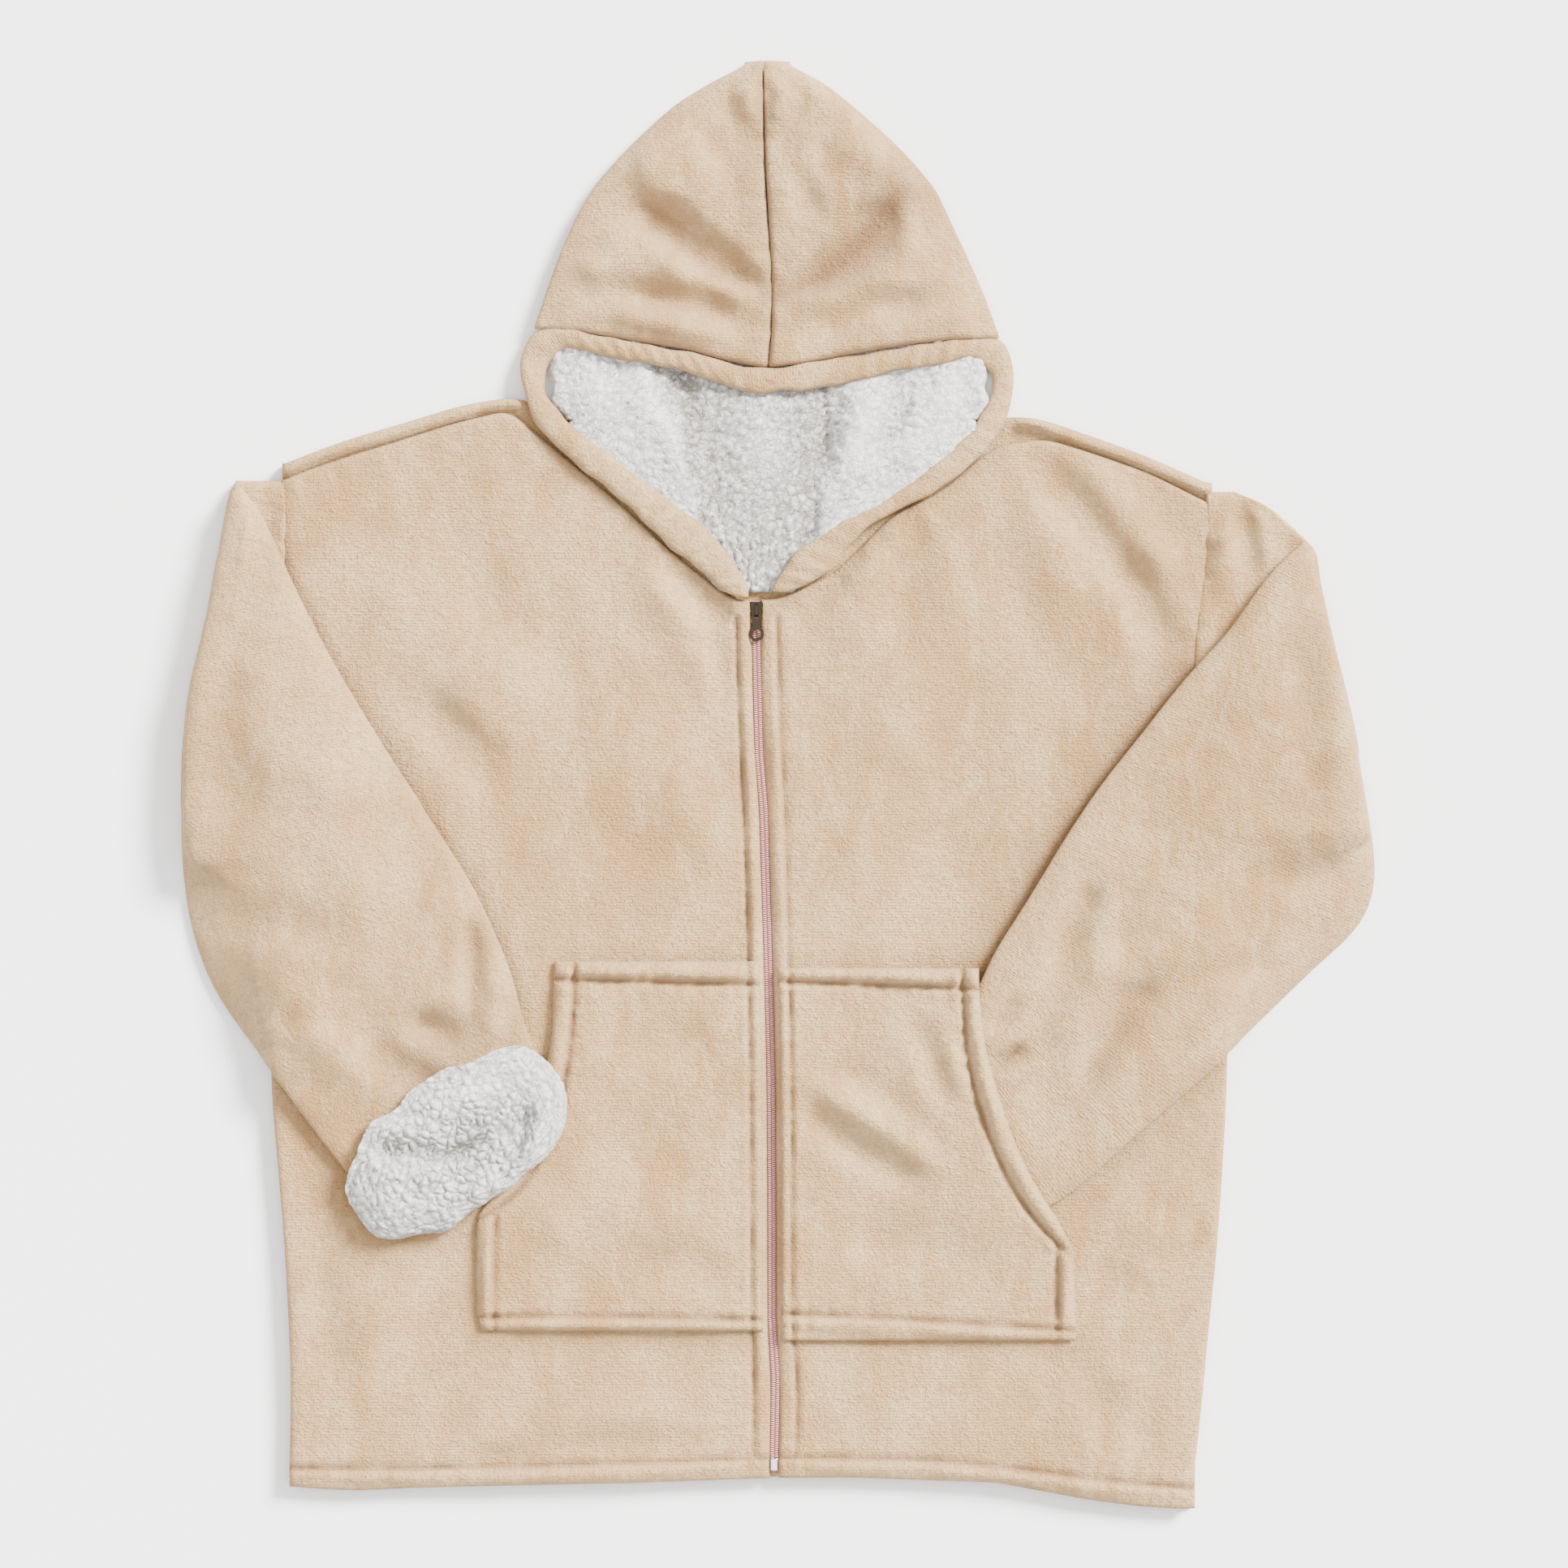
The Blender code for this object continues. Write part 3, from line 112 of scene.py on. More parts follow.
# Soft fold: a ridge or trough of its own height and width with a shallower answer on both sides
def foldLift(x, y, folds):
    lift = np.zeros(x.shape)
    for k, (points, height, width) in enumerate(folds):
        line = smoothPath(points, 6.0)
        near = boxed(x, y, line, 4.0 * width)
        if not near.any():
            continue
        away, share, side, run = toPath(x[near], y[near], line)
        ends = eased(share / 0.22) * eased((1.0 - share) / 0.30)
        uneven = 1.0 + 0.28 * np.sin(run / 17.0 + 1.7 * k) + 0.16 * np.sin(run / 7.3 + k)
        wide = width * (0.8 + 0.35 * ends + 0.12 * np.sin(run / 23.0 + k))
        core = np.exp(-((away / wide) ** 2)) - 0.36 * np.exp(-(((away - 2.0 * wide) / (0.9 * wide)) ** 2))
        lift[near] += height * (0.12 + 0.88 * ends) * uneven * core
    return lift


# Short uneven puckers across a seam
def puckerLift(x, y, seams):
    lift = np.zeros(x.shape)
    for k, (points, height, reach, pitch) in enumerate(seams):
        line = smoothPath(points, 6.0)
        near = boxed(x, y, line, 3.0 * reach)
        if not near.any():
            continue
        away, share, side, run = toPath(x[near], y[near], line)
        wave = np.sin(2 * pi * run / pitch + 1.9 * np.sin(run / (2.3 * pitch)) + k + 0.5 * side)
        wave += 0.6 * np.sin(2 * pi * run / (0.61 * pitch) + 2.3 * np.sin(run / (1.7 * pitch)) + 2 * k)
        strength = 0.55 + 0.45 * np.sin(run / (3.1 * pitch) + 1.3 * k)
        lift[near] += height * strength * wave * np.exp(-((away / reach) ** 2)) * eased(away / 2.0 + 0.25)
    return lift


# Thread sunk in the pile: a narrow groove with a slight rise on both sides
def grooveLift(x, y, grooves):
    lift = np.zeros(x.shape)
    for points, depth, width in grooves:
        line = smoothPath(points, 4.0)
        near = boxed(x, y, line, 4.0 * width)
        if not near.any():
            continue
        away, share, side, run = toPath(x[near], y[near], line)
        uneven = 1.0 + 0.18 * np.sin(run / 5.3) + 0.14 * np.sin(run / 13.7)
        dip = np.exp(-((away / width) ** 2)) - 0.3 * np.exp(-(((away - 2.3 * width) / (1.3 * width)) ** 2))
        lift[near] -= depth * uneven * dip
    return lift


def cadMesh(name):
    bm = bmesh.new()
    bm.from_mesh(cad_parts[name].data)
    bmesh.ops.remove_doubles(bm, verts=bm.verts, dist=0.00002)
    bmesh.ops.recalc_face_normals(bm, faces=bm.faces)
    return bm


def cadReader(name):
    bm = cadMesh(name)
    trees["cad_" + name] = BVHTree.FromBMesh(bm)
    ends = np.array([[*edge.verts[0].co, *edge.verts[1].co] for edge in bm.edges]) / mm
    bm.free()
    return ends


# Lowest and highest value of one axis where a solid is cut at places along the other
def cutLimits(ends, axis, places):
    other = 1 - axis
    lows, highs = [], []
    for at in places:
        a, b = ends[:, axis], ends[:, axis + 3]
        hit = ((a - at) * (b - at) <= 0.0) & (np.abs(b - a) > 1e-9)
        t = (at - a[hit]) / (b[hit] - a[hit])
        value = between(ends[hit, other], ends[hit, other + 3], t)
        lows.append(value.min() if len(value) else np.nan)
        highs.append(value.max() if len(value) else np.nan)
    lows, highs = np.array(lows), np.array(highs)
    good = ~np.isnan(lows)
    return np.interp(places, places[good], lows[good]), np.interp(places, places[good], highs[good])


def topOf(names, x, y):
    best = np.full(len(x), -1.0)
    down = Vector((0.0, 0.0, -1.0))
    for name in names:
        tree = trees[name]
        for k in range(len(x)):
            hit = tree.ray_cast(Vector((x[k] * mm, y[k] * mm, 1.0)), down)[0]
            if hit is not None and hit.z / mm > best[k]:
                best[k] = hit.z / mm
    return best


# Shares of a width, close together near both ends
def steps(width, fine, coarse, margin):
    margin = min(margin, 0.3 * width)
    edge = np.arange(0.0, margin, fine)
    count = max(2, round((width - 2 * edge[-1]) / coarse))
    middle = np.linspace(edge[-1], width - edge[-1], count + 1)[1:-1]
    return np.concatenate([edge, middle, width - edge[::-1]]) / width


# Places of a laid panel's grid: columns run up it, rows follow its lower and upper edge
def panelPlaces(name, spec):
    ends = cadReader(name)
    lowX, highX = ends[:, 0].min() + 0.6, ends[:, 0].max() - 0.6
    lowY, highY = ends[:, 1].min() + 0.6, ends[:, 1].max() - 0.6
    ys, xs = np.linspace(lowY, highY, 180), np.linspace(lowX, highX, 200)
    soften = spec.get("soften", 3.0)

    def edgeOf(axis, places, which, reach):
        cut = np.linspace(*spec.get(reach, (places[0], places[-1])), 160)
        return np.interp(places, cut, blurred(cutLimits(ends, axis, cut)[which], soften))

    left, right = edgeOf(1, ys, 0, "leftCut"), edgeOf(1, ys, 1, "rightCut")
    bottom, top = edgeOf(0, xs, 0, "lowCut"), edgeOf(0, xs, 1, "topCut")
    wider = spec.get("widen", 0.0) + spec.get("widenLow", 0.0) * eased((286.0 - ys) / 14.0)
    left, right = left - spec.get("widenLeft", wider), right + spec.get("widenRight", wider)
    if "rows" in spec:
        bottom, top = np.full(200, spec["rows"][0]), np.full(200, spec["rows"][1])
    if "topLine" in spec:
        top = np.full(200, spec["topLine"])
    wide = float(np.mean(right - left))
    tall = float(np.mean(top - bottom))
    fine, coarse, margin = spec.get("cells", (1.8, 3.8, 18.0))
    us, vs = steps(wide, fine, coarse, margin), steps(tall, fine, coarse, margin)
    u, v = np.meshgrid(us, vs, indexing="ij")
    middleY = 0.5 * (lowY + highY)
    x = between(lowX, highX, u)
    y = np.full(u.shape, middleY)
    for _ in range(7):
        y = between(np.interp(x, xs, bottom), np.interp(x, xs, top), v)
        x = between(np.interp(y, ys, left), np.interp(y, ys, right), u)
    return x, y, u, v, wide, tall


def edgeForm(distance, roll, share=0.3):
    if not roll:
        return np.ones(distance.shape)
    return share + (1.0 - share) * np.sqrt(1.0 - (1.0 - np.clip(distance / roll, 0.0, 1.0)) ** 2)


def attribute(mesh, name, values):
    layer = mesh.attributes.new(name, "FLOAT", "POINT")
    layer.data.foreach_set("value", np.asarray(values, np.float32))


# A closed sheet over a grid: top and low are heights, and the marks are what the shader reads
def closedGrid(name, x, y, top, low, marks, material, flatUnder=False):
    nx, ny = x.shape[0] - 1, x.shape[1] - 1
    bm = bmesh.new()
    bmesh.ops.create_grid(bm, x_segments=nx, y_segments=ny, size=0.5)
    if flatUnder:
        rim = [edge for edge in bm.edges if edge.is_boundary]
        made = bmesh.ops.extrude_edge_only(bm, edges=rim)["geom"]
        lowered = [item for item in made if isinstance(item, bmesh.types.BMVert)]
        bmesh.ops.translate(bm, verts=lowered, vec=(0.0, 0.0, -1.0))
        bmesh.ops.holes_fill(bm, edges=[edge for edge in bm.edges if edge.is_boundary], sides=0)
    else:
        made = bmesh.ops.extrude_face_region(bm, geom=bm.faces[:])["geom"]
        bmesh.ops.translate(bm, verts=[item for item in made if isinstance(item, bmesh.types.BMVert)],
            vec=(0.0, 0.0, 1.0))
    bmesh.ops.recalc_face_normals(bm, faces=bm.faces)
    mesh = bpy.data.meshes.new(name)
    bm.to_mesh(mesh)
    bm.free()
    count = len(mesh.vertices)
    co = np.zeros(count * 3, np.float32)
    mesh.vertices.foreach_get("co", co)
    co = co.reshape(-1, 3)
    column = np.rint((co[:, 0] + 0.5) * nx).astype(int)
    row = np.rint((co[:, 1] + 0.5) * ny).astype(int)
    upper = co[:, 2] > (-0.5 if flatUnder else 0.5)
    new = np.stack([x[column, row], y[column, row], np.where(upper, top[column, row], low[column, row])], 1)
    mesh.vertices.foreach_set("co", (new * mm).astype(np.float32).ravel())
    for key, values in marks.items():
        attribute(mesh, key, values[column, row])
    mesh.shade_smooth()
    mesh.update()
    return placed(name, mesh, material)


def placed(name, mesh, material):
    piece = bpy.data.objects.new(name, mesh)
    bpy.context.scene.collection.objects.link(piece)
    mesh.materials.append(material)
    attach(piece, "garment")
    return piece


def report(piece):
    area = 0.5 * sum(face.area for face in piece.data.polygons)
    print(piece.name, len(piece.data.polygons), "faces,", round(area, 4), "m2 of cloth")


def keepTree(piece):
    bm = bmesh.new()
    bm.from_mesh(piece.data)
    trees[piece.name] = BVHTree.FromBMesh(bm)
    bm.free()


def linear(code):
    channels = [int(code[k:k + 2], 16) / 255.0 for k in (1, 3, 5)]
    return tuple(c / 12.92 if c <= 0.04045 else ((c + 0.055) / 1.055) ** 2.4 for c in channels) + (1.0,)


def node(tree, kind, settings=None, links=None):
    made = tree.nodes.new(kind)
    for key, value in (settings or {}).items():
        if isinstance(key, str) and hasattr(made, key):
            setattr(made, key, value)
        else:
            made.inputs[key].default_value = value
    for key, source in (links or {}).items():
        tree.links.new(source, made.inputs[key])
    return made


def startMaterial(name):
    material = bpy.data.materials.new(name)
    material.use_nodes = True
    tree = material.node_tree
    shader = tree.nodes["Principled BSDF"]
    return material, tree, shader


def mixColour(tree, share, a, b):
    made = tree.nodes.new("ShaderNodeMix")
    made.data_type = "RGBA"
    for socket, value in ((made.inputs[0], share), (made.inputs[6], a), (made.inputs[7], b)):
        if isinstance(value, (tuple, float)):
            socket.default_value = value
        else:
            tree.links.new(value, socket)
    return made.outputs[2]


def ranged(tree, source, low, high, start=0.0, end=1.0):
    made = node(tree, "ShaderNodeMapRange", {1: low, 2: high, 3: start, 4: end}, {0: source})
    return made.outputs[0]


def maths(tree, kind, a, b):
    made = tree.nodes.new("ShaderNodeMath")
    made.operation = kind
    for socket, value in ((made.inputs[0], a), (made.inputs[1], b)):
        if isinstance(value, (int, float)):
            socket.default_value = value
        else:
            tree.links.new(value, socket)
    return made.outputs[0]


# Brushed pile fleece: soft patches of turned nap, faint knit ribs, and painted warm shade in folds, stitch
# lines, rolled rims and beside edges
def fleeceMaterial(name, mid, light, shade, deep):
    material, tree, shader = startMaterial(name)
    place = node(tree, "ShaderNodeTexCoord").outputs["Object"]
    rib = node(tree, "ShaderNodeAttribute", {"attribute_name": "rib"}).outputs["Fac"]
    # This attribute carries painted shade for folds, stitch lines, rolled rims and the cloth beside edges
    paintedShade = node(tree, "ShaderNodeAttribute", {"attribute_name": "paintedShade"}).outputs["Fac"]

    stretched = node(tree, "ShaderNodeMapping", {"Rotation": (0.0, 0.0, 0.35), "Scale": (1.7, 0.75, 1.0)},
        {"Vector": place}).outputs[0]

    def pattern(scale, detail, rough=0.6, distortion=0.0, source=None):
        made = node(tree, "ShaderNodeTexNoise",
            {"Scale": scale, "Detail": detail, "Roughness": rough, "Distortion": distortion},
            {"Vector": source or place})
        return made.outputs["Fac"]

    patches = pattern(9.0, 3.0, 0.55, 0.7, stretched)
    brushed = pattern(30.0, 4.0, 0.6, 0.9, stretched)
    tufts = pattern(190.0, 4.0, 0.7, 0.5)
    nap = pattern(430.0, 2.0, 0.6, 0.3)
    fibre = pattern(1000.0, 2.0, 0.7, 0.2)
    colour = mixColour(tree, ranged(tree, patches, 0.35, 0.65), linear(shade), linear(light))
    colour = mixColour(tree, 0.42, colour, linear(mid))
    colour = mixColour(tree, ranged(tree, brushed, 0.46, 0.64, 0.0, 0.55), colour, linear(light))
    colour = mixColour(tree, ranged(tree, tufts, 0.38, 0.56, 0.45, 0.0), colour, linear(shade))
    colour = mixColour(tree, ranged(tree, nap, 0.36, 0.60, 0.42, 0.0), colour, linear(shade))
    colour = mixColour(tree, ranged(tree, fibre, 0.44, 0.66, 0.0, 0.36), colour, linear(light))
    wobble = maths(tree, "MULTIPLY", tufts, 4.2)
    wave = maths(tree, "SINE", maths(tree, "ADD", maths(tree, "MULTIPLY", rib, 2 * pi / 2.1), wobble), 0.0)
    ribShare = ranged(tree, wave, -1.0, 1.0, 0.2, 0.0)
    colour = mixColour(tree, ribShare, colour, linear(shade))
    # Painted shade: the darkest colour is mixed in as far as the shade attribute asks
    colour = mixColour(tree, ranged(tree, paintedShade, 0.0, 1.0, 0.0, 0.72), colour, linear(deep))
    tree.links.new(colour, shader.inputs["Base Color"])
    height = maths(tree, "ADD", maths(tree, "MULTIPLY", tufts, 0.9), maths(tree, "MULTIPLY", fibre, 0.5))
    height = maths(tree, "ADD", height, maths(tree, "MULTIPLY", wave, 0.05))
    height = maths(tree, "ADD", height, maths(tree, "MULTIPLY", nap, 0.9))
    bump = node(tree, "ShaderNodeBump", {"Strength": 0.9, "Distance": 0.0026}, {"Height": height})
    tree.links.new(bump.outputs["Normal"], shader.inputs["Normal"])
    shader.inputs["Roughness"].default_value = 0.95
    shader.inputs["Specular IOR Level"].default_value = 0.15
    shader.inputs["Sheen Weight"].default_value = 0.22
    shader.inputs["Sheen Roughness"].default_value = 0.5
    shader.inputs["Sheen Tint"].default_value = linear("#FFF4E6")
    return material


# Curly pile: off-white clumps with painted grey shade between them and a random curl tone
def sherpaMaterial(name):
    material, tree, shader = startMaterial(name)
    place = node(tree, "ShaderNodeTexCoord").outputs["Object"]
    clump = node(tree, "ShaderNodeAttribute", {"attribute_name": "clump"}).outputs["Fac"]
    curl = node(tree, "ShaderNodeTexNoise",
        {"Scale": 520.0, "Detail": 4.0, "Roughness": 0.65, "Distortion": 2.6},
        {"Vector": place}).outputs["Fac"]
    fine = node(tree, "ShaderNodeTexNoise",
        {"Scale": 1500.0, "Detail": 2.0, "Roughness": 0.7, "Distortion": 1.0},
        {"Vector": place}).outputs["Fac"]
    swirl = node(tree, "ShaderNodeTexNoise", {"Scale": 210.0, "Detail": 3.0},
        {"Vector": place}).outputs["Color"]
    bent = node(tree, "ShaderNodeMix", {"data_type": "VECTOR"})
    bent.inputs[0].default_value = 0.009
    tree.links.new(place, bent.inputs[4])
    tree.links.new(swirl, bent.inputs[5])
    curls = node(tree, "ShaderNodeTexVoronoi", {"feature": "DISTANCE_TO_EDGE", "Scale": 175.0},
        {"Vector": bent.outputs[1]}).outputs["Distance"]
    # Painted grey shade in the narrow gaps between curls
    gap = ranged(tree, curls, 0.0, 0.3)
    curlToneAndShade = maths(tree, "ADD", maths(tree, "MULTIPLY", clump, 0.7), maths(tree, "MULTIPLY", gap, 0.3))
    curlToneAndShade = maths(tree, "ADD", curlToneAndShade, maths(tree, "MULTIPLY", maths(tree, "SUBTRACT", curl, 0.5), 0.7))
    colour = mixColour(tree, ranged(tree, curlToneAndShade, 0.05, 0.72), linear("#857C72"), linear("#FAF8F5"))
    tree.links.new(colour, shader.inputs["Base Color"])
    height = maths(tree, "ADD", maths(tree, "ADD", curl, maths(tree, "MULTIPLY", gap, 0.55)),
        maths(tree, "MULTIPLY", fine, 0.35))
    bump = node(tree, "ShaderNodeBump", {"Strength": 0.85, "Distance": 0.0022}, {"Height": height})
    tree.links.new(bump.outputs["Normal"], shader.inputs["Normal"])
    shader.inputs["Roughness"].default_value = 0.95
    shader.inputs["Specular IOR Level"].default_value = 0.15
    shader.inputs["Sheen Weight"].default_value = 0.4
    shader.inputs["Sheen Roughness"].default_value = 0.45
    return material


def plainMaterial(name, code, roughness, metallic=0.0, bumpScale=0.0, bumpDepth=0.0, spread=0.0):
    material, tree, shader = startMaterial(name)
    shader.inputs["Base Color"].default_value = linear(code)
    shader.inputs["Roughness"].default_value = roughness
    shader.inputs["Metallic"].default_value = metallic
    if bumpScale:
        place = node(tree, "ShaderNodeTexCoord").outputs["Object"]
        grain = node(tree, "ShaderNodeTexNoise", {"Scale": bumpScale, "Detail": 3.0, "Roughness": 0.6},
            {"Vector": place}).outputs["Fac"]
        bump = node(tree, "ShaderNodeBump", {"Strength": 0.6, "Distance": bumpDepth}, {"Height": grain})
        tree.links.new(bump.outputs["Normal"], shader.inputs["Normal"])
        if spread:
            tree.links.new(ranged(tree, grain, 0.35, 0.65, roughness - spread, roughness + spread),
                shader.inputs["Roughness"])
    return material


# The last colour is the painted shade for folds, stitch lines, rolled rims and beside edges
fleece = fleeceMaterial("fleece_pile", "#BA905F", "#D4B98F", "#A0784A", "#6E4F34")
sherpa = sherpaMaterial("curly_sherpa")
# Dusty pink polyester, matt with a slight gloss on the coil
tapeMaterial = plainMaterial("zip_tape_polyester", "#B5807A", 0.75, 0.0, 1800.0, 0.0003)
coilMaterial = plainMaterial("zip_coil_nylon", "#C48F88", 0.42)
# Dark plated zinc with roughness that varies in small patches, and a bright plated box
antiqueNickel = plainMaterial("antique_nickel", "#332C24", 0.32, 1.0, 900.0, 0.0001, 0.1)
brightNickel = plainMaterial("bright_nickel", "#D8D6D2", 0.22, 1.0)
print("materials done")


# A line beside another, to its left as it runs
def beside(points, away):
    line = smoothPath(points, 8.0)
    run = np.gradient(line, axis=0)
    run /= np.maximum(np.hypot(run[:, 0], run[:, 1]), 1e-6)[:, None]
    return [(p[0] - away * d[1], p[1] + away * d[0]) for p, d in zip(line, run)]


# Painted warm shade that gathers beside a line, as under an edge or in a crease
def shadeNear(x, y, shades):
    total = 0.0 * x
    for points, share, reach in shades:
        total += share * np.exp(-((toPath(x, y, smoothPath(points, 6.0))[0] / reach) ** 1.4))
    return total


# How painted shade and relief answer to folds, stitches and edges
relief = {"foldShade": 0.022, "foldMost": 0.2, "stitchShade": 0.34, "stitchMost": 0.9, "rimShade": 0.3}
relief.update({"broad": 62.0, "fine": 21.0, "inside": 9.0, "depth": 1.8, "deepest": 5.8})


# base and wall are heights in mm; roll is how far each edge turns over: left, right, low, high
def buildPanel(name, nodeName, spec, folds=(), puckers=(), grooves=()):
    x, y, u, v, wide, tall = panelPlaces(nodeName, spec)
    shape = x.shape
    distances = [u * wide, (1 - u) * wide, v * tall, (1 - v) * tall]
    share = np.ones(shape)
    for distance, roll in zip(distances, spec["roll"]):
        share = share * edgeForm(distance, roll, spec.get("rim", 0.3))
    if "over" in spec:
        inside = relief["inside"]
        ui = np.clip(u, inside / wide, 1 - inside / wide)
        vi = np.clip(v, inside / tall, 1 - inside / tall)
        ix = np.rint(np.interp(ui, u[:, 0], np.arange(shape[0]))).astype(int)
        iy = np.rint(np.interp(vi, v[0, :], np.arange(shape[1]))).astype(int)
        high = topOf(["cad_" + nodeName], x[ix, iy].ravel(), y[ix, iy].ravel()).reshape(shape)
        under = topOf(spec["over"], x.ravel(), y.ravel()).reshape(shape)
        soften = spec.get("drape", 9.0)
        reach = soften / spec["cells"][1]
        crown = blurred(blurred(high, reach, 0), reach, 1)
        crown = np.maximum(crown, under + spec["wall"] * 0.55)
        crown = blurred(blurred(crown, 0.35 * reach, 0), 0.35 * reach, 1)
        base = crown - spec["wall"]
        low = np.maximum(under + 0.25, base)
        low = np.minimum(low, crown - 1.2)
    else:
        base = np.full(shape, float(spec["base"]))
        low = base.copy()
    wall = spec["wall"] + (spec["swell"](x, y) if "swell" in spec else 0.0)
    flatX, flatY = x.ravel(), y.ravel()
    lift = spec.get("depth", relief["depth"]) * foldLift(flatX, flatY, folds).reshape(shape)
    lift += puckerLift(flatX, flatY, puckers).reshape(shape)
    seed = spec.get("seed", 1)
    soft = 0.9 * cloud(flatX, flatY, 0 * flatX, relief["broad"], seed)
    soft += 0.45 * cloud(flatX, flatY, 0 * flatX, relief["fine"], seed + 9)
    lift += spec.get("soft", 1.0) * soft.reshape(shape)
    deepest = spec.get("deepest", relief["deepest"])
    lift = np.where(lift < 0.0, -deepest * np.tanh(-lift / deepest), lift)
    groove = grooveLift(flatX, flatY, grooves).reshape(shape)
    top = base + wall * (0.5 + 0.5 * share) + (lift + groove) * np.clip(share * 1.3 - 0.3, 0.0, 1.0)
    if "over" in spec:
        lowest = np.minimum(low + 0.5 * wall * (1 - share), top - 1.0)
        lowest = np.maximum(lowest, np.minimum(under + 0.2, top - 0.6))
        top = np.maximum(top, under + 1.0)
    else:
        lowest = base + 0.15 * wall * (1 - share)
    # Painted shade: darker in fold troughs, stitch grooves, on rolled rims and beside the listed lines
    paintedShade = np.clip(-relief["foldShade"] * lift, 0.0, relief["foldMost"])
    paintedShade += np.clip(-relief["stitchShade"] * groove, 0.0, relief["stitchMost"])
    paintedShade += relief["rimShade"] * np.clip((0.75 - share) / 0.45, 0.0, 1.0)
    paintedShade += shadeNear(x, y, spec.get("shades", ()))
    marks = {"paintedShade": np.clip(paintedShade, 0.0, 1.0), "rib": y}
    piece = closedGrid(name, x, y, top, lowest, marks, fleece, "over" not in spec)
    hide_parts(nodeName)
    keepTree(piece)
    report(piece)
    return piece


def wrapSwell(x, y):
    ends = [(-366.0, 224.0), (-329.7, 240.1), (-267.7, 258.7), (-209.7, 276.1), (-190.0, 279.5),
        (-172.0, 262.5), (150.0, 261.4), (168.0, 265.0), (182.0, 263.5), (242.2, 241.3), (295.5, 219.2),
        (322.0, 210.0)]
    line = np.interp(x, [p[0] for p in ends], [p[1] for p in ends])
    near = eased((11.0 - (line - y)) / 4.0)
    return 9.0 * near * np.minimum(1.0, eased((-x - 175.0) / 14.0) + eased((x - 163.0) / 14.0))


back = {"base": 0.0, "wall": 8.0, "roll": (8.0, 8.0, 8.0, 6.0), "cells": (2.5, 5.0, 20.0),
    "leftCut": (-490.0, 212.0), "rightCut": (-490.0, 200.0), "lowCut": (-346.0, 292.0),
    "topCut": (-354.0, 305.0), "swell": wrapSwell, "soft": 0.3, "seed": 2}
backPiece = buildPanel("back_panel", "back", back)

# Straight drape lines read off the front, with quieter ones of the same kind between them
frontFolds = [
    ([(179.5, 235), (221, 190), (252, 152), (266.5, 117), (275, 61)], -3.4, 10),
    ([(206, 232), (250, 186), (284, 140)], 3, 13),
    ([(158, 214), (190, 176), (214, 130), (222, 84)], 2.2, 17),
    ([(-265, 70), (-222, 21), (-193, -7)], -3.2, 12),
    ([(-300, 150), (-232, 92), (-150, 30)], 2.4, 24),
    ([(-246, 196), (-214, 150), (-196, 96)], -1.6, 14),
    ([(-88, 158), (-58, 134), (-32, 112)], -2.8, 7),
    ([(-104, 168), (-72, 118), (-52, 62)], 2, 12),
    ([(-60, 136), (-44, 96), (-38, 50)], -1.6, 8),
    ([(58, 172), (32, 140), (10, 112)], -2.6, 7),
    ([(74, 178), (56, 128), (46, 70)], 2, 13),
    ([(100, 190), (92, 140), (96, 92)], -1.4, 11),
    ([(-140, 60), (-90, 0), (-40, -50)], 1.8, 22),
    ([(120, 120), (70, 20), (40, -80)], 1.7, 24),
    ([(160, 40), (120, -30), (96, -96)], -1.5, 18),
    ([(-240, -488), (-120, -474), (-40, -468)], -2.4, 9),
    ([(-300, -400), (-270, -320)], 2, 20),
    ([(-330, -340), (-318, -430)], -1.5, 10),
    ([(250, -360), (272, -300)], 2, 18),
    ([(225, -430), (262, -480)], -2, 11),
    ([(236, -408), (248, -446), (242, -486)], 1.7, 9),
]
leftHem = [(-350, -489), (-286, -489.5), (-164, -487), (-91, -484), (-10, -481.5)]
rightHem = [(-1, -481), (43, -481.5), (120, -483.5), (188, -492), (254, -500), (294, -503)]
leftZipStitch = [(-31.5, 118), (-31.5, 100), (-23.5, -78), (-21, -237), (-20, -379), (-18.8, -432),
    (-19, -478)]
rightZipStitch = [(-2, 118), (-2, 100), (5.5, -78), (8.4, -237), (8.4, -379), (12.5, -432), (11.5, -478)]
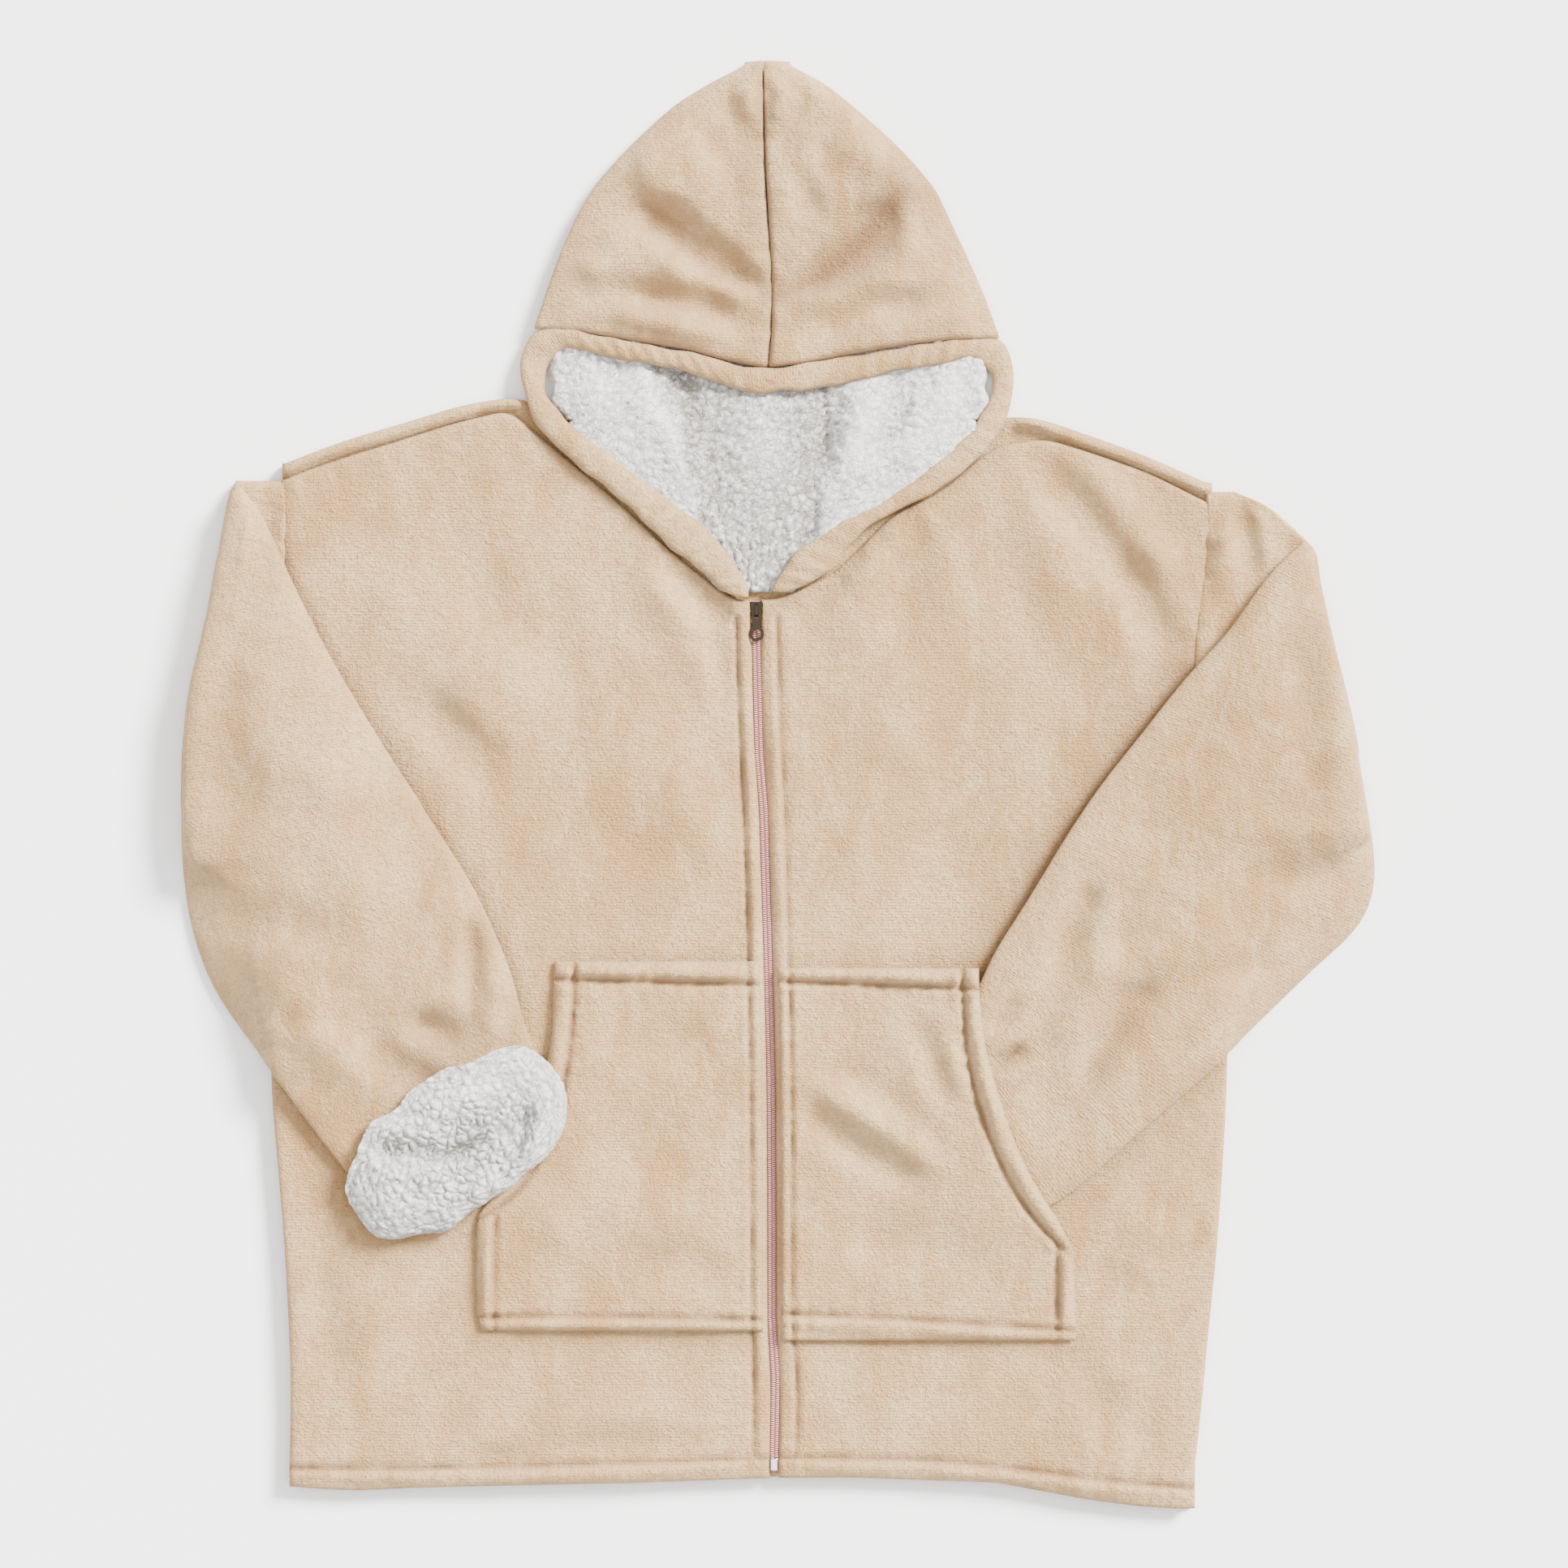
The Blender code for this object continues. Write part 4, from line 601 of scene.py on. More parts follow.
frontShades = [
    ([(-352, 190), (-354, 150), (-347, 118)], 0.4, 6),
    ([(374, 173), (321, 109), (273, 56), (234, 7), (200, -43), (167, -97.5), (140.7, -147)], 0.3, 4),
    ([(-357.5, 165), (-317.6, 84.1), (-275.8, 15.7), (-246.8, -30.2), (-216.1, -77.7), (-193.4, -129.3),
        (-182, -170)], 0.35, 3.5),
    ([(374, 173), (341.3, 141.3), (321, 109), (293.8, 81.8), (273, 56), (251, 27.5), (234, 7), (219, -14),
        (200, -43), (183, -72), (167, -97.5), (151.5, -121), (140.7, -147)], 0.82, 16),
    ([(-357.5, 165), (-340.2, 127.6), (-317.6, 84.1), (-298, 52), (-275.8, 15.7), (-259, -9),
        (-246.8, -30.2), (-232.3, -51), (-216.1, -77.7), (-201.6, -110.2), (-193.4, -129.3),
        (-187.6, -150.8)], 0.42, 8),
    ([(-429, -110), (-386, -177), (-347, -227), (-311, -271)], 0.3, 12),
    ([(125, -345), (154, -318), (222, -280), (289, -220), (322, -190)], 0.34, 12),
    ([(-311, -291), (-303, -310), (-276, -334), (-246, -328), (-214, -312)], 0.42, 15),
    ([(-172, 252), (-152, 233), (-106.8, 194), (-63.6, 156), (-30, 130)], 0.5, 8),
    ([(154, 245), (110, 206), (58, 179), (40, 155), (4, 133)], 0.5, 8),
    ([(-216, -398), (-120, -398), (-20, -398)], 0.32, 7),
    ([(-2, -398), (100, -400), (215, -404)], 0.32, 7),
    ([(-150, -122), (-80, -124), (-20, -126)], 0.3, 6),
    ([(2, -124), (80, -126), (134, -129)], 0.3, 6),
]
frontSpec = {"base": 8.35, "wall": 8.0, "soft": 1.3}
leftFront = dict(frontSpec, widenRight=2.1, shades=frontShades, roll=(8.0, 4.0, 8.0, 4.0),
    leftCut=(-488.0, 206.0), rightCut=(-488.0, 122.0), lowCut=(-346.0, -14.0), topCut=(-354.0, -25.0),
    seed=3)
rightFront = dict(frontSpec, widenLeft=2.1, shades=frontShades, roll=(4.0, 8.0, 8.0, 4.0),
    leftCut=(-488.0, 122.0), rightCut=(-488.0, 190.0), lowCut=(5.0, 292.0), topCut=(-9.0, 304.0), seed=4)
hemPuckers = [(leftHem, 0.8, 11, 15), (rightHem, 0.9, 11, 13)]
zipPuckers = [(leftZipStitch, 0.55, 10, 11), (rightZipStitch, 0.55, 10, 12)]
neckPuckers = [([(-108, 190), (-66, 152), (-30, 130)], 1.3, 26, 24),
    ([(6, 131), (52, 166), (110, 204)], 1.3, 26, 22)]
shoulderSeams = [([(-352, 214), (-292, 236), (-190, 262)], 0.9, 14, 23),
    ([(170, 246), (240, 226), (305, 198)], 0.9, 14, 21)]
armholePuckers = [([(-354, 205), (-353, 60), (-357, -60)], 0.9, 13, 21),
    ([(304, 195), (299, 120), (291, 80)], 0.9, 13, 19)]
frontFolds += [(beside(leftHem, -7), 1.8, 5), (beside(rightHem, -7), 1.8, 5)]
frontFolds += [(beside(leftZipStitch, 6), 1.5, 4.5), (beside(rightZipStitch, -5.5), 1.5, 4.5)]
bodyPuckers = hemPuckers + zipPuckers + neckPuckers + shoulderSeams + armholePuckers
leftFrontPiece = buildPanel("front_panel_left", "front_left", leftFront, frontFolds, bodyPuckers,
    [(leftHem, 2.6, 2.2), (leftZipStitch, 2.3, 1.9)])
rightFrontPiece = buildPanel("front_panel_right", "front_right", rightFront, frontFolds, bodyPuckers,
    [(rightHem, 2.6, 2.2), (rightZipStitch, 2.3, 1.9)])

headFolds = [
    ([(315, 187), (316, 160), (316, 133)], 2.6, 7),
    ([(331, 198), (326, 186), (337, 165), (340, 144)], -3.2, 5),
    ([(358, 166), (368, 170), (378, 173)], -2, 5),
    ([(-366, 204), (-366, 176)], -2.4, 6),
    ([(-380, 190), (-384, 150)], 1.8, 6),
    ([(-372, 150), (-376, 96)], -1.6, 6),
]
headSpec = {"base": 0.0, "wall": 16.0, "widen": 5.5, "roll": (6.0, 6.0, 8.0, 8.0),
    "cells": (1.8, 3.4, 12.0), "rim": 0.3}
leftHeadPiece = buildPanel("sleeve_cap_left", "sleeve_head_left",
    dict(headSpec, rows=(-60.0, 217.0), seed=5), headFolds, armholePuckers)
rightHeadPiece = buildPanel("sleeve_cap_right", "sleeve_head_right",
    dict(headSpec, rows=(-40.0, 209.0), seed=6), headFolds, armholePuckers)
hoodUnder = {"base": 0.0, "wall": 3.2, "roll": (4.0, 4.0, 4.0, 4.0), "cells": (3.0, 9.0, 12.0),
    "rows": (262.0, 500.0), "soft": 0.0}
hoodUnderPiece = buildPanel("hood_under", "hood_back", hoodUnder)


def clumpHeight(x, y, z, size):
    total = []
    for p in zip(x / size, y / size, z / size):
        bend = noise.noise_vector(Vector(p) * 0.6)
        near = noise.voronoi(Vector(p) + 0.55 * bend)[0]
        total.append(min(1.0, near[1] - near[0]))
    return np.array(total)


# Cloth that lies a step higher to the left of a line as it runs
def flapLift(x, y, flaps):
    lift = np.zeros(x.shape)
    for points, height, width in flaps:
        away, share, side, run = toPath(x, y, smoothPath(points, 6.0))
        signed = -side * away * (1.0 + 0.2 * np.sin(run / 11.0)) + 2.2 * np.sin(run / 9.0)
        lift += height * eased(0.5 + signed / width)
    return lift


def buildLining(name, nodeName, spec, folds):
    x, y, u, v, wide, tall = panelPlaces(nodeName, spec)
    shape = x.shape
    share = np.ones(shape)
    for distance, roll in zip((u * wide, (1 - u) * wide, v * tall, (1 - v) * tall), spec["roll"]):
        share = share * edgeForm(distance, roll)
    flatX, flatY = x.ravel(), y.ravel()
    lift = foldLift(flatX, flatY, folds) + flapLift(flatX, flatY, liningFlaps)
    clump = clumpHeight(flatX, flatY, 0 * flatX, spec["clump"])
    small = 0.5 + 0.5 * cloud(flatX, flatY, 0 * flatX, 2.4, 4)
    rise = 4.4 * np.sqrt(clump) + 1.0 * small - 1.0
    wall = spec["wall"] + (spec["swell"](x, y) if "swell" in spec else 0.0)
    top = spec["base"] + (wall - 1.2) * (0.5 + 0.5 * share) + (lift + rise).reshape(shape) * share
    low = spec["base"] + 0.0 * x
    # Painted shade between the clumps and in fold troughs, with a random tone on top
    toneAndShade = np.clip(0.72 * np.sqrt(clump) + 0.28 * small + 0.05 * (lift - 3.0), 0.0, 1.0).reshape(shape)
    piece = closedGrid(name, x, y, top, low, {"clump": toneAndShade}, sherpa, True)
    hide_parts(nodeName)
    keepTree(piece)
    report(piece)
    return piece


liningFlaps = [
    ([(-62, 180), (-56.5, 204), (-80, 255), (-99, 303), (-104, 345)], 5, 7),
    ([(40, 345), (38, 293), (27, 204), (22, 150)], 4.6, 7),
    ([(112, 345), (107, 280), (59.6, 222.7), (30, 180)], 2.6, 8),
]
liningFolds = [
    ([(-106, 305), (-97, 273), (-79, 253), (-62, 218)], 5, 11),
    ([(-67, 300), (-66, 253), (-65, 225)], -3, 6),
    ([(39, 300), (37, 253), (36, 227), (27, 209)], -3.2, 6),
    ([(66, 300), (60, 250), (46, 205)], 4.6, 12),
    ([(-140, 300), (-120, 262), (-96, 226)], 3.6, 13),
    ([(122, 292), (104, 250), (84, 222)], 3.6, 13),
    ([(109, 294), (108, 280), (106, 262)], -2.6, 6),
    ([(-20, 290), (-12, 240), (-16, 190)], 3.2, 15),
]
hoodLining = {"base": 3.55, "wall": 5.0, "widen": 6.0, "widenLow": 9.5,
    "swell": lambda x, y: 4.5 * eased((300.0 - y) / 34.0), "roll": (4.0, 4.0, 0.0, 4.0),
    "rows": (260.5, 340.0), "cells": (1.7, 1.7, 10.0), "clump": 6.4}
neckLining = {"base": 8.35, "wall": 6.0, "roll": (4.0, 4.0, 4.0, 0.0), "rows": (137.0, 262.5),
    "widen": 5.5, "cells": (1.7, 1.7, 10.0), "clump": 6.4}
hoodLiningPiece = buildLining("hood_curly_lining", "hood_lining", hoodLining, liningFolds)
neckLiningPiece = buildLining("neck_curly_lining", "neck_lining", neckLining, liningFolds)

hoodFolds = [
    ([(-103, 419), (-61, 379), (-37, 364), (-7, 353)], -5.2, 9),
    ([(83, 419), (57, 382), (30, 361), (1, 350)], -5.2, 9),
    ([(-130, 358), (-90, 353), (-50, 339), (-12, 329)], -3.4, 8),
    ([(-132, 337), (-90, 330), (-44, 318)], 2.2, 8),
    ([(112, 352), (76, 338), (30, 326), (4, 322)], -2.8, 8),
    ([(-112, 438), (-74, 446), (-30, 430)], 3.4, 18),
    ([(78, 440), (44, 448), (8, 430)], 3.4, 18),
    ([(-132, 390), (-90, 375), (-44, 358)], 3, 10),
    ([(104, 388), (66, 358), (20, 342)], 3, 12),
    ([(-118, 408), (-70, 378), (-20, 356)], -3.2, 20),
    ([(92, 404), (60, 374), (14, 352)], -3.4, 22),
    ([(-104, 398), (-62, 366), (-22, 350)], 2.6, 7),
    ([(-150, 372), (-110, 362), (-60, 350)], 2.4, 8),
    ([(24, 446), (38, 420), (70, 402)], -2, 14),
    ([(-26, 500), (-20, 470)], 2.4, 6),
    ([(4, 500), (-4, 470)], 2.4, 6),
    ([(-60, 470), (-36, 440), (-28, 400)], -1.8, 9),
    ([(40, 468), (20, 436), (12, 396)], -1.8, 9),
]
seamLine = [(-10.2, 297.5), (-6.7, 308), (-6.1, 358.4), (-8.4, 397.9), (-11.3, 451.2), (-12.5, 514)]
hoodPuckers = [(seamLine, 0.8, 15, 18), ([(-170, 326), (-103, 318), (-10, 300)], 0.8, 12, 15),
    ([(152, 319), (88, 314), (-10, 300)], 0.8, 12, 16)]
hoodShades = [
    ([(83, 419), (57, 382), (30, 361), (1, 350)], 0.62, 8),
    ([(92, 424), (64, 396), (34, 374)], 0.36, 19),
    ([(-103, 419), (-61, 379), (-37, 364), (-7, 353)], 0.42, 7),
    ([(-130, 358), (-90, 353), (-50, 339), (-12, 329)], 0.26, 5),
    ([(-16, 482), (-26, 440), (-20, 396)], 0.32, 15),
    ([(2, 474), (36, 452), (78, 432)], 0.34, 14),
    ([(-160, 334), (-100, 324), (-10, 303)], 0.16, 9),
    (seamLine, 0.22, 6),
]
hoodSpec = {"shades": hoodShades, "wall": 13.0, "depth": 2.2, "deepest": 10.0, "soft": 2.6, "drape": 11.0,
    "cells": (1.8, 3.2, 14.0), "topLine": 517.6, "over": ["hood_curly_lining", "hood_under"]}
leftHoodPiece = buildPanel("hood_panel_left", "hood_left",
    dict(hoodSpec, roll=(30.0, 4.0, 5.0, 5.0), leftCut=(327.0, 515.0), rightCut=(302.0, 512.0),
    lowCut=(-172.0, -13.0), seed=7),
    hoodFolds, hoodPuckers)
rightHoodPiece = buildPanel("hood_panel_right", "hood_right",
    dict(hoodSpec, roll=(4.0, 30.0, 5.0, 5.0), leftCut=(302.0, 512.0), rightCut=(320.0, 515.0),
    lowCut=(-6.0, 152.0), seed=8),
    hoodFolds, hoodPuckers)


# A tube over a grid of points that closes on itself the first way, filled at both ends
def tubeGrid(name, points, marks, material, nodes):
    around, along = points.shape[0], points.shape[1]
    bm = bmesh.new()
    layers = {key: bm.verts.layers.float.new(key) for key in marks}
    verts = bmesh.ops.create_grid(bm, x_segments=around, y_segments=along - 1, size=0.5)["verts"]
    for vertex in verts:
        i = round((vertex.co.x + 0.5) * around) % around
        j = round((vertex.co.y + 0.5) * (along - 1))
        vertex.co = Vector(points[i, j]) * mm
        for key, layer in layers.items():
            vertex[layer] = float(marks[key][i, j])
    bmesh.ops.remove_doubles(bm, verts=bm.verts[:], dist=0.000001)
    bmesh.ops.holes_fill(bm, edges=[edge for edge in bm.edges if edge.is_boundary], sides=0)
    bmesh.ops.recalc_face_normals(bm, faces=bm.faces)
    mesh = bpy.data.meshes.new(name)
    bm.to_mesh(mesh)
    bm.free()
    mesh.shade_smooth()
    piece = placed(name, mesh, material)
    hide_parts(*nodes)
    keepTree(piece)
    report(piece)
    return piece


# Heights that cloth takes over what is under it: never below it, and soft across hollows
def bridged(under, cells, passes=14):
    rest = np.maximum(under, 0.0) + 0.35
    firm = rest.copy()
    for _ in range(passes):
        rest = np.maximum(firm, blurred(blurred(rest, cells, 0), cells, 1))
    return rest


def stationsOf(rows, count, soften=14.0):
    rows = np.array(rows, float)
    middle = np.stack([0.5 * (rows[:, 0] + rows[:, 2]), 0.5 * (rows[:, 1] + rows[:, 3])], 1)
    reach = np.concatenate([[0.0], np.cumsum(np.hypot(*np.diff(middle, axis=0).T))])
    at = np.linspace(0.0, reach[-1], count)
    table = np.stack([np.interp(at, reach, rows[:, k]) for k in range(rows.shape[1])], 1)
    soft = blurred(table, soften / (reach[-1] / (count - 1)))
    soft[0], soft[-1] = table[0], table[-1]
    return soft, at


# Sleeves: inner x, y, outer x, y and height of each rung
leftRungs = [(-385, 211.5, -392, 207, 10), (-371, 198, -398, 180, 14), (-357.5, 165, -405, 150, 18),
    (-340.2, 127.6, -413, 110, 20), (-317.6, 84.1, -424, 72, 21), (-298, 52, -428, 35, 22),
    (-275.8, 15.7, -429.5, -5, 22), (-259, -9, -429.5, -45, 22), (-246.8, -30.2, -427, -78, 22),
    (-232.3, -51, -421, -110, 22), (-216.1, -77.7, -408, -145, 22), (-201.6, -110.2, -386, -177.5, 21),
    (-193.4, -129.3, -367.4, -199, 21), (-187.6, -150.8, -347, -227, 18), (-180.8, -180, -313.5, -273, 14),
    (-173, -193, -300, -287, 11)]
rightRungs = [(374, 173, 381, 168, 10), (360, 162.4, 385, 147, 14), (341.3, 141.3, 390.5, 121, 18),
    (321, 109, 399, 86, 20), (293.8, 81.8, 408.5, 50, 21), (273, 56, 417, 2, 22),
    (251, 27.5, 424.3, -36, 22), (234, 7, 428.5, -74, 22), (219, -14, 416, -103.5, 22),
    (200, -43, 385, -129.5, 22), (183, -72, 352, -162, 21), (167, -97.5, 322.2, -189.7, 20),
    (151.5, -121, 289, -220.5, 19), (140.7, -147, 253.8, -249.4, 18), (126, -164, 222, -280, 15),
    (106, -184, 190, -305, 12), (82, -206, 154, -318, 9)]
sleeveFolds = [
    ([(226, -66), (214, -90), (200, -118), (188, -144)], -3.6, 7),
    ([(268, -136), (239, -177), (223, -206), (208.5, -227)], -4.4, 8),
    ([(300, -96), (262, -124), (238, -150)], 3, 11),
    ([(246, -108), (214, -160), (186, -200)], 3.4, 10),
    ([(175.5, -186), (160, -197), (148, -203)], -3.2, 6),
    ([(172, -150), (158, -164), (146, -181)], -2.6, 5),
    ([(330, 40), (318, -20), (296, -70)], 2, 24),
    ([(372, 110), (376, 40), (386, -30)], -2.2, 12),
    ([(402, -50), (372, -66), (338, -64)], -2.4, 11),
    ([(362, -128), (330, -126), (300, -140)], -2.2, 9),
    ([(318, 84), (306, 40), (276, 6)], -1.6, 12),
    ([(-219, -90), (-219, -116), (-216, -165)], -3.6, 6),
    ([(-266, -168), (-244, -176), (-222, -182)], -4.2, 9),
    ([(-300, -186), (-270, -206), (-236, -212)], -2.4, 9),
    ([(-196, -132), (-206, -160), (-204, -186)], 2.4, 7),
    ([(-330, 40), (-316, -40), (-284, -110)], 2.6, 22),
    ([(-392, 100), (-394, 20), (-384, -60)], -2.2, 13),
    ([(-404, -104), (-366, -92), (-330, -104)], -2.2, 12),
    ([(-350, -150), (-318, -190), (-288, -222)], 2.6, 12),
    ([(-364, -168), (-334, -160), (-304, -176)], -2, 8),
]
sleeveShades = [
    ([(-264, -198), (-244, -184), (-222, -174)], 0.55, 15),
    ([(-219, -100), (-217, -130), (-216, -165)], 0.5, 4),
    ([(-300, -262), (-284, -236), (-262, -214), (-222, -190), (-190, -182)], 0.45, 7),
    ([(-392, 60), (-398, 0), (-396, -60)], 0.16, 16),
    ([(-362, 168), (-358, 140)], 0.3, 7),
    ([(268, -136), (239, -177), (223, -206), (208.5, -227)], 0.3, 8),
    ([(175.5, -186), (160, -197), (148, -203)], 0.5, 5),
    ([(158, -290), (142, -260), (134, -220)], 0.4, 8),
    ([(402, -50), (372, -66), (338, -64)], 0.25, 8),
    ([(372, 110), (376, 40), (386, -30)], 0.16, 14),
]


def buildSleeve(name, nodeName, rungs, under, arc, seed, closeEnd):
    sizes = {"across": 44, "along": 132, "plump": 3.0, "soft": 2.0, "wall": 2.4, "depth": 2.0}
    table, at = stationsOf(rungs, sizes["along"])
    last = np.array(rungs[-1], float)
    chord = last[2:4] - last[0:2]
    backward = np.array([chord[1], -chord[0]]) / np.hypot(*chord)
    if backward @ (np.array(rungs[0][0:2]) - last[0:2]) < 0:
        backward = -backward
    v = at / at[-1]
    lattice = np.linspace(0.0, 1.0, 34)

    def place(u, j):
        bow = arc * 4.0 * u * (1.0 - u) * eased((v[j] - 0.6) / 0.4)
        x, y = between(table[j, 0], table[j, 2], u), between(table[j, 1], table[j, 3], u)
        return x + backward[0] * bow, y + backward[1] * bow

    px = np.array([place(lattice, j)[0] for j in range(len(v))]).T
    py = np.array([place(lattice, j)[1] for j in range(len(v))]).T
    rest = bridged(topOf(under, px.ravel(), py.ravel()).reshape(px.shape), 1.6)
    sides = 2 * sizes["across"]
    turns = 2 * pi * np.arange(sides) / sides
    rise = np.where(turns > pi, 1.0, -1.0)
    upper = (turns > pi)[:, None]

    def skin(inset):
        x, y, z = (np.zeros((sides, len(v))) for _ in range(3))
        u = 0.5 - 0.5 * np.cos(turns)
        full = np.clip(1.0 - np.abs(2.0 * u - 1.0) ** sizes["plump"], 0.0, 1.0) ** 0.5
        for j in range(len(v)):
            width = hypot(table[j, 2] - table[j, 0], table[j, 3] - table[j, 1])
            atU = 0.5 + (u - 0.5) * (1.0 - 2.6 * inset / max(width, 12.0))
            x[:, j], y[:, j] = place(atU, j)
            closing = 1.0
            if closeEnd:
                closing = 0.35 + 0.65 * float(np.sqrt(1.0 - (1.0 - min(1.0, (at[-1] - at[j]) / 9.0)) ** 2))
            base = np.interp(atU, lattice, rest[:, j])
            lowering = 0.35 * table[j, 4] * eased((atU - 0.72) / 0.28)
            half = max(0.5, 0.5 * table[j, 4] - inset)
            z[:, j] = base + 0.5 * table[j, 4] - lowering * (base < 9.0) + half * rise * full * closing
        flat = x.ravel(), y.ravel()
        lift = sizes["depth"] * foldLift(*flat, sleeveFolds).reshape(x.shape)
        soft = 1.2 * cloud(*flat, 0 * flat[0], 58.0, seed)
        soft += 0.6 * cloud(*flat, 0 * flat[0], 22.0, seed + 5)
        lift += sizes["soft"] * soft.reshape(x.shape)
        z += np.where(upper, lift * full[:, None], 0.0)
        return x, y, np.maximum(z, 0.3 + inset), lift, full

    outer, inner = skin(0.0), skin(sizes["wall"])
    x, y, z = (np.concatenate([outer[k], inner[k][:, ::-1]], 1) for k in range(3))
    # Painted shade on the rolled edges, in fold troughs and beside the listed lines, and a flat painted
    # shade on the underside
    rollShade = 0.2 * np.clip(1.0 - outer[4][:, None] * 1.5, 0.0, 1.0)
    paintedShade = np.where(upper, np.clip(-0.03 * outer[3], 0.0, 0.3) + rollShade, 0.3)
    paintedShade += upper * shadeNear(outer[0], outer[1], sleeveShades)
    paintedShade = np.clip(np.concatenate([paintedShade, paintedShade[:, ::-1]], 1), 0.0, 1.0)
    rib = np.tile(np.concatenate([at, at[::-1]]), (sides, 1))
    return tubeGrid(name, np.stack([x, y, z], 2), {"paintedShade": paintedShade, "rib": rib}, fleece,
        [nodeName])


leftSleeve = buildSleeve("sleeve_folded_left", "sleeve_left", leftRungs,
    ["back_panel", "front_panel_left", "sleeve_cap_left"], 23.0, 11, True)
rightSleeve = buildSleeve("sleeve_folded_right", "sleeve_right", rightRungs,
    ["back_panel", "front_panel_right", "sleeve_cap_right"], 0.0, 12, True)

# Patch pockets: stitch lines, then folds, then a ridge in each turned band
leftTop = [(-160, -139.5), (-120, -140.5), (-60, -142), (-10, -143)]
leftOpening = [(-146.5, -128), (-149, -184), (-155, -217), (-166, -252), (-179, -283), (-190, -296),
    (-204, -306), (-216, -311)]
leftLow = [(-214, -381), (-160, -379.5), (-90, -380.5), (-10, -382.5)]
leftSideStitch = [(-203.5, -308), (-204, -340), (-204, -390)]
rightTop = [(-4, -141), (60, -143), (141, -146)]
rightOpening = [(129.6, -133), (130, -150), (132, -190), (140, -227), (153, -264), (172, -299),
    (188, -319), (204, -334)]
rightLow = [(-2, -378), (60, -380), (120, -384), (210, -390)]
rightSideStitch = [(197.5, -330), (198, -360), (197.5, -397)]
pocketFolds = [
    ([(21, -213), (55, -235), (90, -256), (119, -275)], 3.6, 9),
    ([(24, -236), (60, -262), (104, -292)], -1.9, 9),
    ([(116, -187), (132, -222)], 2.2, 8),
    ([(90, -160), (112, -196), (120, -236)], -1.8, 8),
    ([(40, -330), (96, -322), (150, -344)], -1.6, 13),
    ([(-180, -330), (-120, -300), (-60, -310)], 1.8, 18),
    ([(-130, -168), (-90, -186), (-40, -182)], -1.6, 14),
    ([(-110, -350), (-70, -338), (-30, -352)], -1.5, 11),
]
pocketFolds += [(beside(leftTop, 7.5), 2.6, 5), (beside(rightTop, 7.5), 2.6, 5),
    (beside(leftLow, -6), 1.6, 4.5), (beside(rightLow, -6.5), 1.6, 4.5)]
pocketFolds += [(beside(leftOpening, -6.5), 2.6, 5), (beside(rightOpening, 6.5), 2.6, 5),
    (beside(leftSideStitch, -6), 1.6, 4.5), (beside(rightSideStitch, 6), 1.6, 4.5)]
pocketPuckers = [(leftTop, 0.8, 9, 13), (leftOpening, 0.9, 10, 12), (leftLow, 0.8, 9, 14),
    (leftSideStitch, 0.8, 9, 12), (rightTop, 0.8, 9, 13), (rightOpening, 1, 10, 12),
    (rightLow, 0.8, 9, 14), (rightSideStitch, 0.8, 9, 12)] + zipPuckers
pocketSpec = {"wall": 6.5, "drape": 7, "soft": 0.9, "cells": (1.7, 3, 22), "rim": 0.2}
leftPocket = buildPanel("patch_pocket_left", "pocket_left",
    dict(pocketSpec, roll=(7, 4, 7, 7), rows=(-390.5, -126.5),
    over=["front_panel_left"], seed=13),
    pocketFolds, pocketPuckers,
    [(leftTop, 3, 2.2), (leftOpening, 3, 2.2), (leftLow, 2.6, 2.2), (leftSideStitch, 2.4, 2.2),
        (leftZipStitch, 2.2, 1.9)])
rightPocket = buildPanel("patch_pocket_right", "pocket_right",
    dict(pocketSpec, roll=(4, 7, 7, 7), rows=(-397.3, -131),
    over=["front_panel_right", "sleeve_folded_right"], drape=16, seed=14),
    pocketFolds, pocketPuckers,
    [(rightTop, 3, 2.2), (rightOpening, 3.2, 2.2), (rightLow, 2.6, 2.2), (rightSideStitch, 2.4, 2.2),
        (rightZipStitch, 2.2, 1.9)])

# Rolled band round the face: outer x, y and inner x, y of each rung, from the zip up the left,
# over the brim and down the right
bandRungs = [(-30.4, 133.2, -22.9, 133.4), (-41, 138, -23.8, 140), (-51.4, 146.8, -28, 151.5),
    (-63.6, 158.6, -43, 171), (-82.6, 172.8, -66, 192.2), (-106.8, 196.2, -90, 210.5),
    (-129.6, 216.4, -114, 228.6), (-153.4, 234.9, -138, 245.6), (-172.6, 254, -156.3, 262.2),
    (-182.8, 275.5, -166.9, 277.3), (-185.2, 292, -170.2, 286), (-185.5, 308, -169, 293),
    (-179.5, 322, -164.5, 303), (-166.3, 327.6, -156, 311), (-148, 325, -140.7, 311),
    (-132.5, 320.5, -122.1, 305.1), (-103, 315.3, -98, 301.5), (-71.1, 309.6, -64, 294),
    (-50.2, 305.2, -39.2, 284.8), (-25.8, 297, -23.5, 279.6), (-10.2, 296.6, -8, 279.8),
    (16.5, 299.7, 14, 281.6), (56.6, 307.2, 52, 287.5), (88.5, 312.4, 84, 295.6), (118, 316.5, 113, 300.3),
    (143, 319.4, 134.9, 305), (158.5, 317.5, 147.4, 300.5), (165.5, 307, 151.5, 293),
    (167.4, 293.7, 152.4, 286), (165.8, 276.5, 149.6, 272.4), (155.7, 247.1, 137.8, 254),
    (134.3, 226.2, 116, 232.6), (109.3, 208.2, 92, 213), (82.7, 194.9, 66, 196.6), (57.4, 181, 46, 188.4),
    (48.8, 169.2, 27.5, 177.8), (40.4, 156.8, 14, 167), (30.4, 148.8, 4, 156), (18, 141.8, -2.5, 146.5),
    (4.4, 136.6, -6.6, 137.4)]


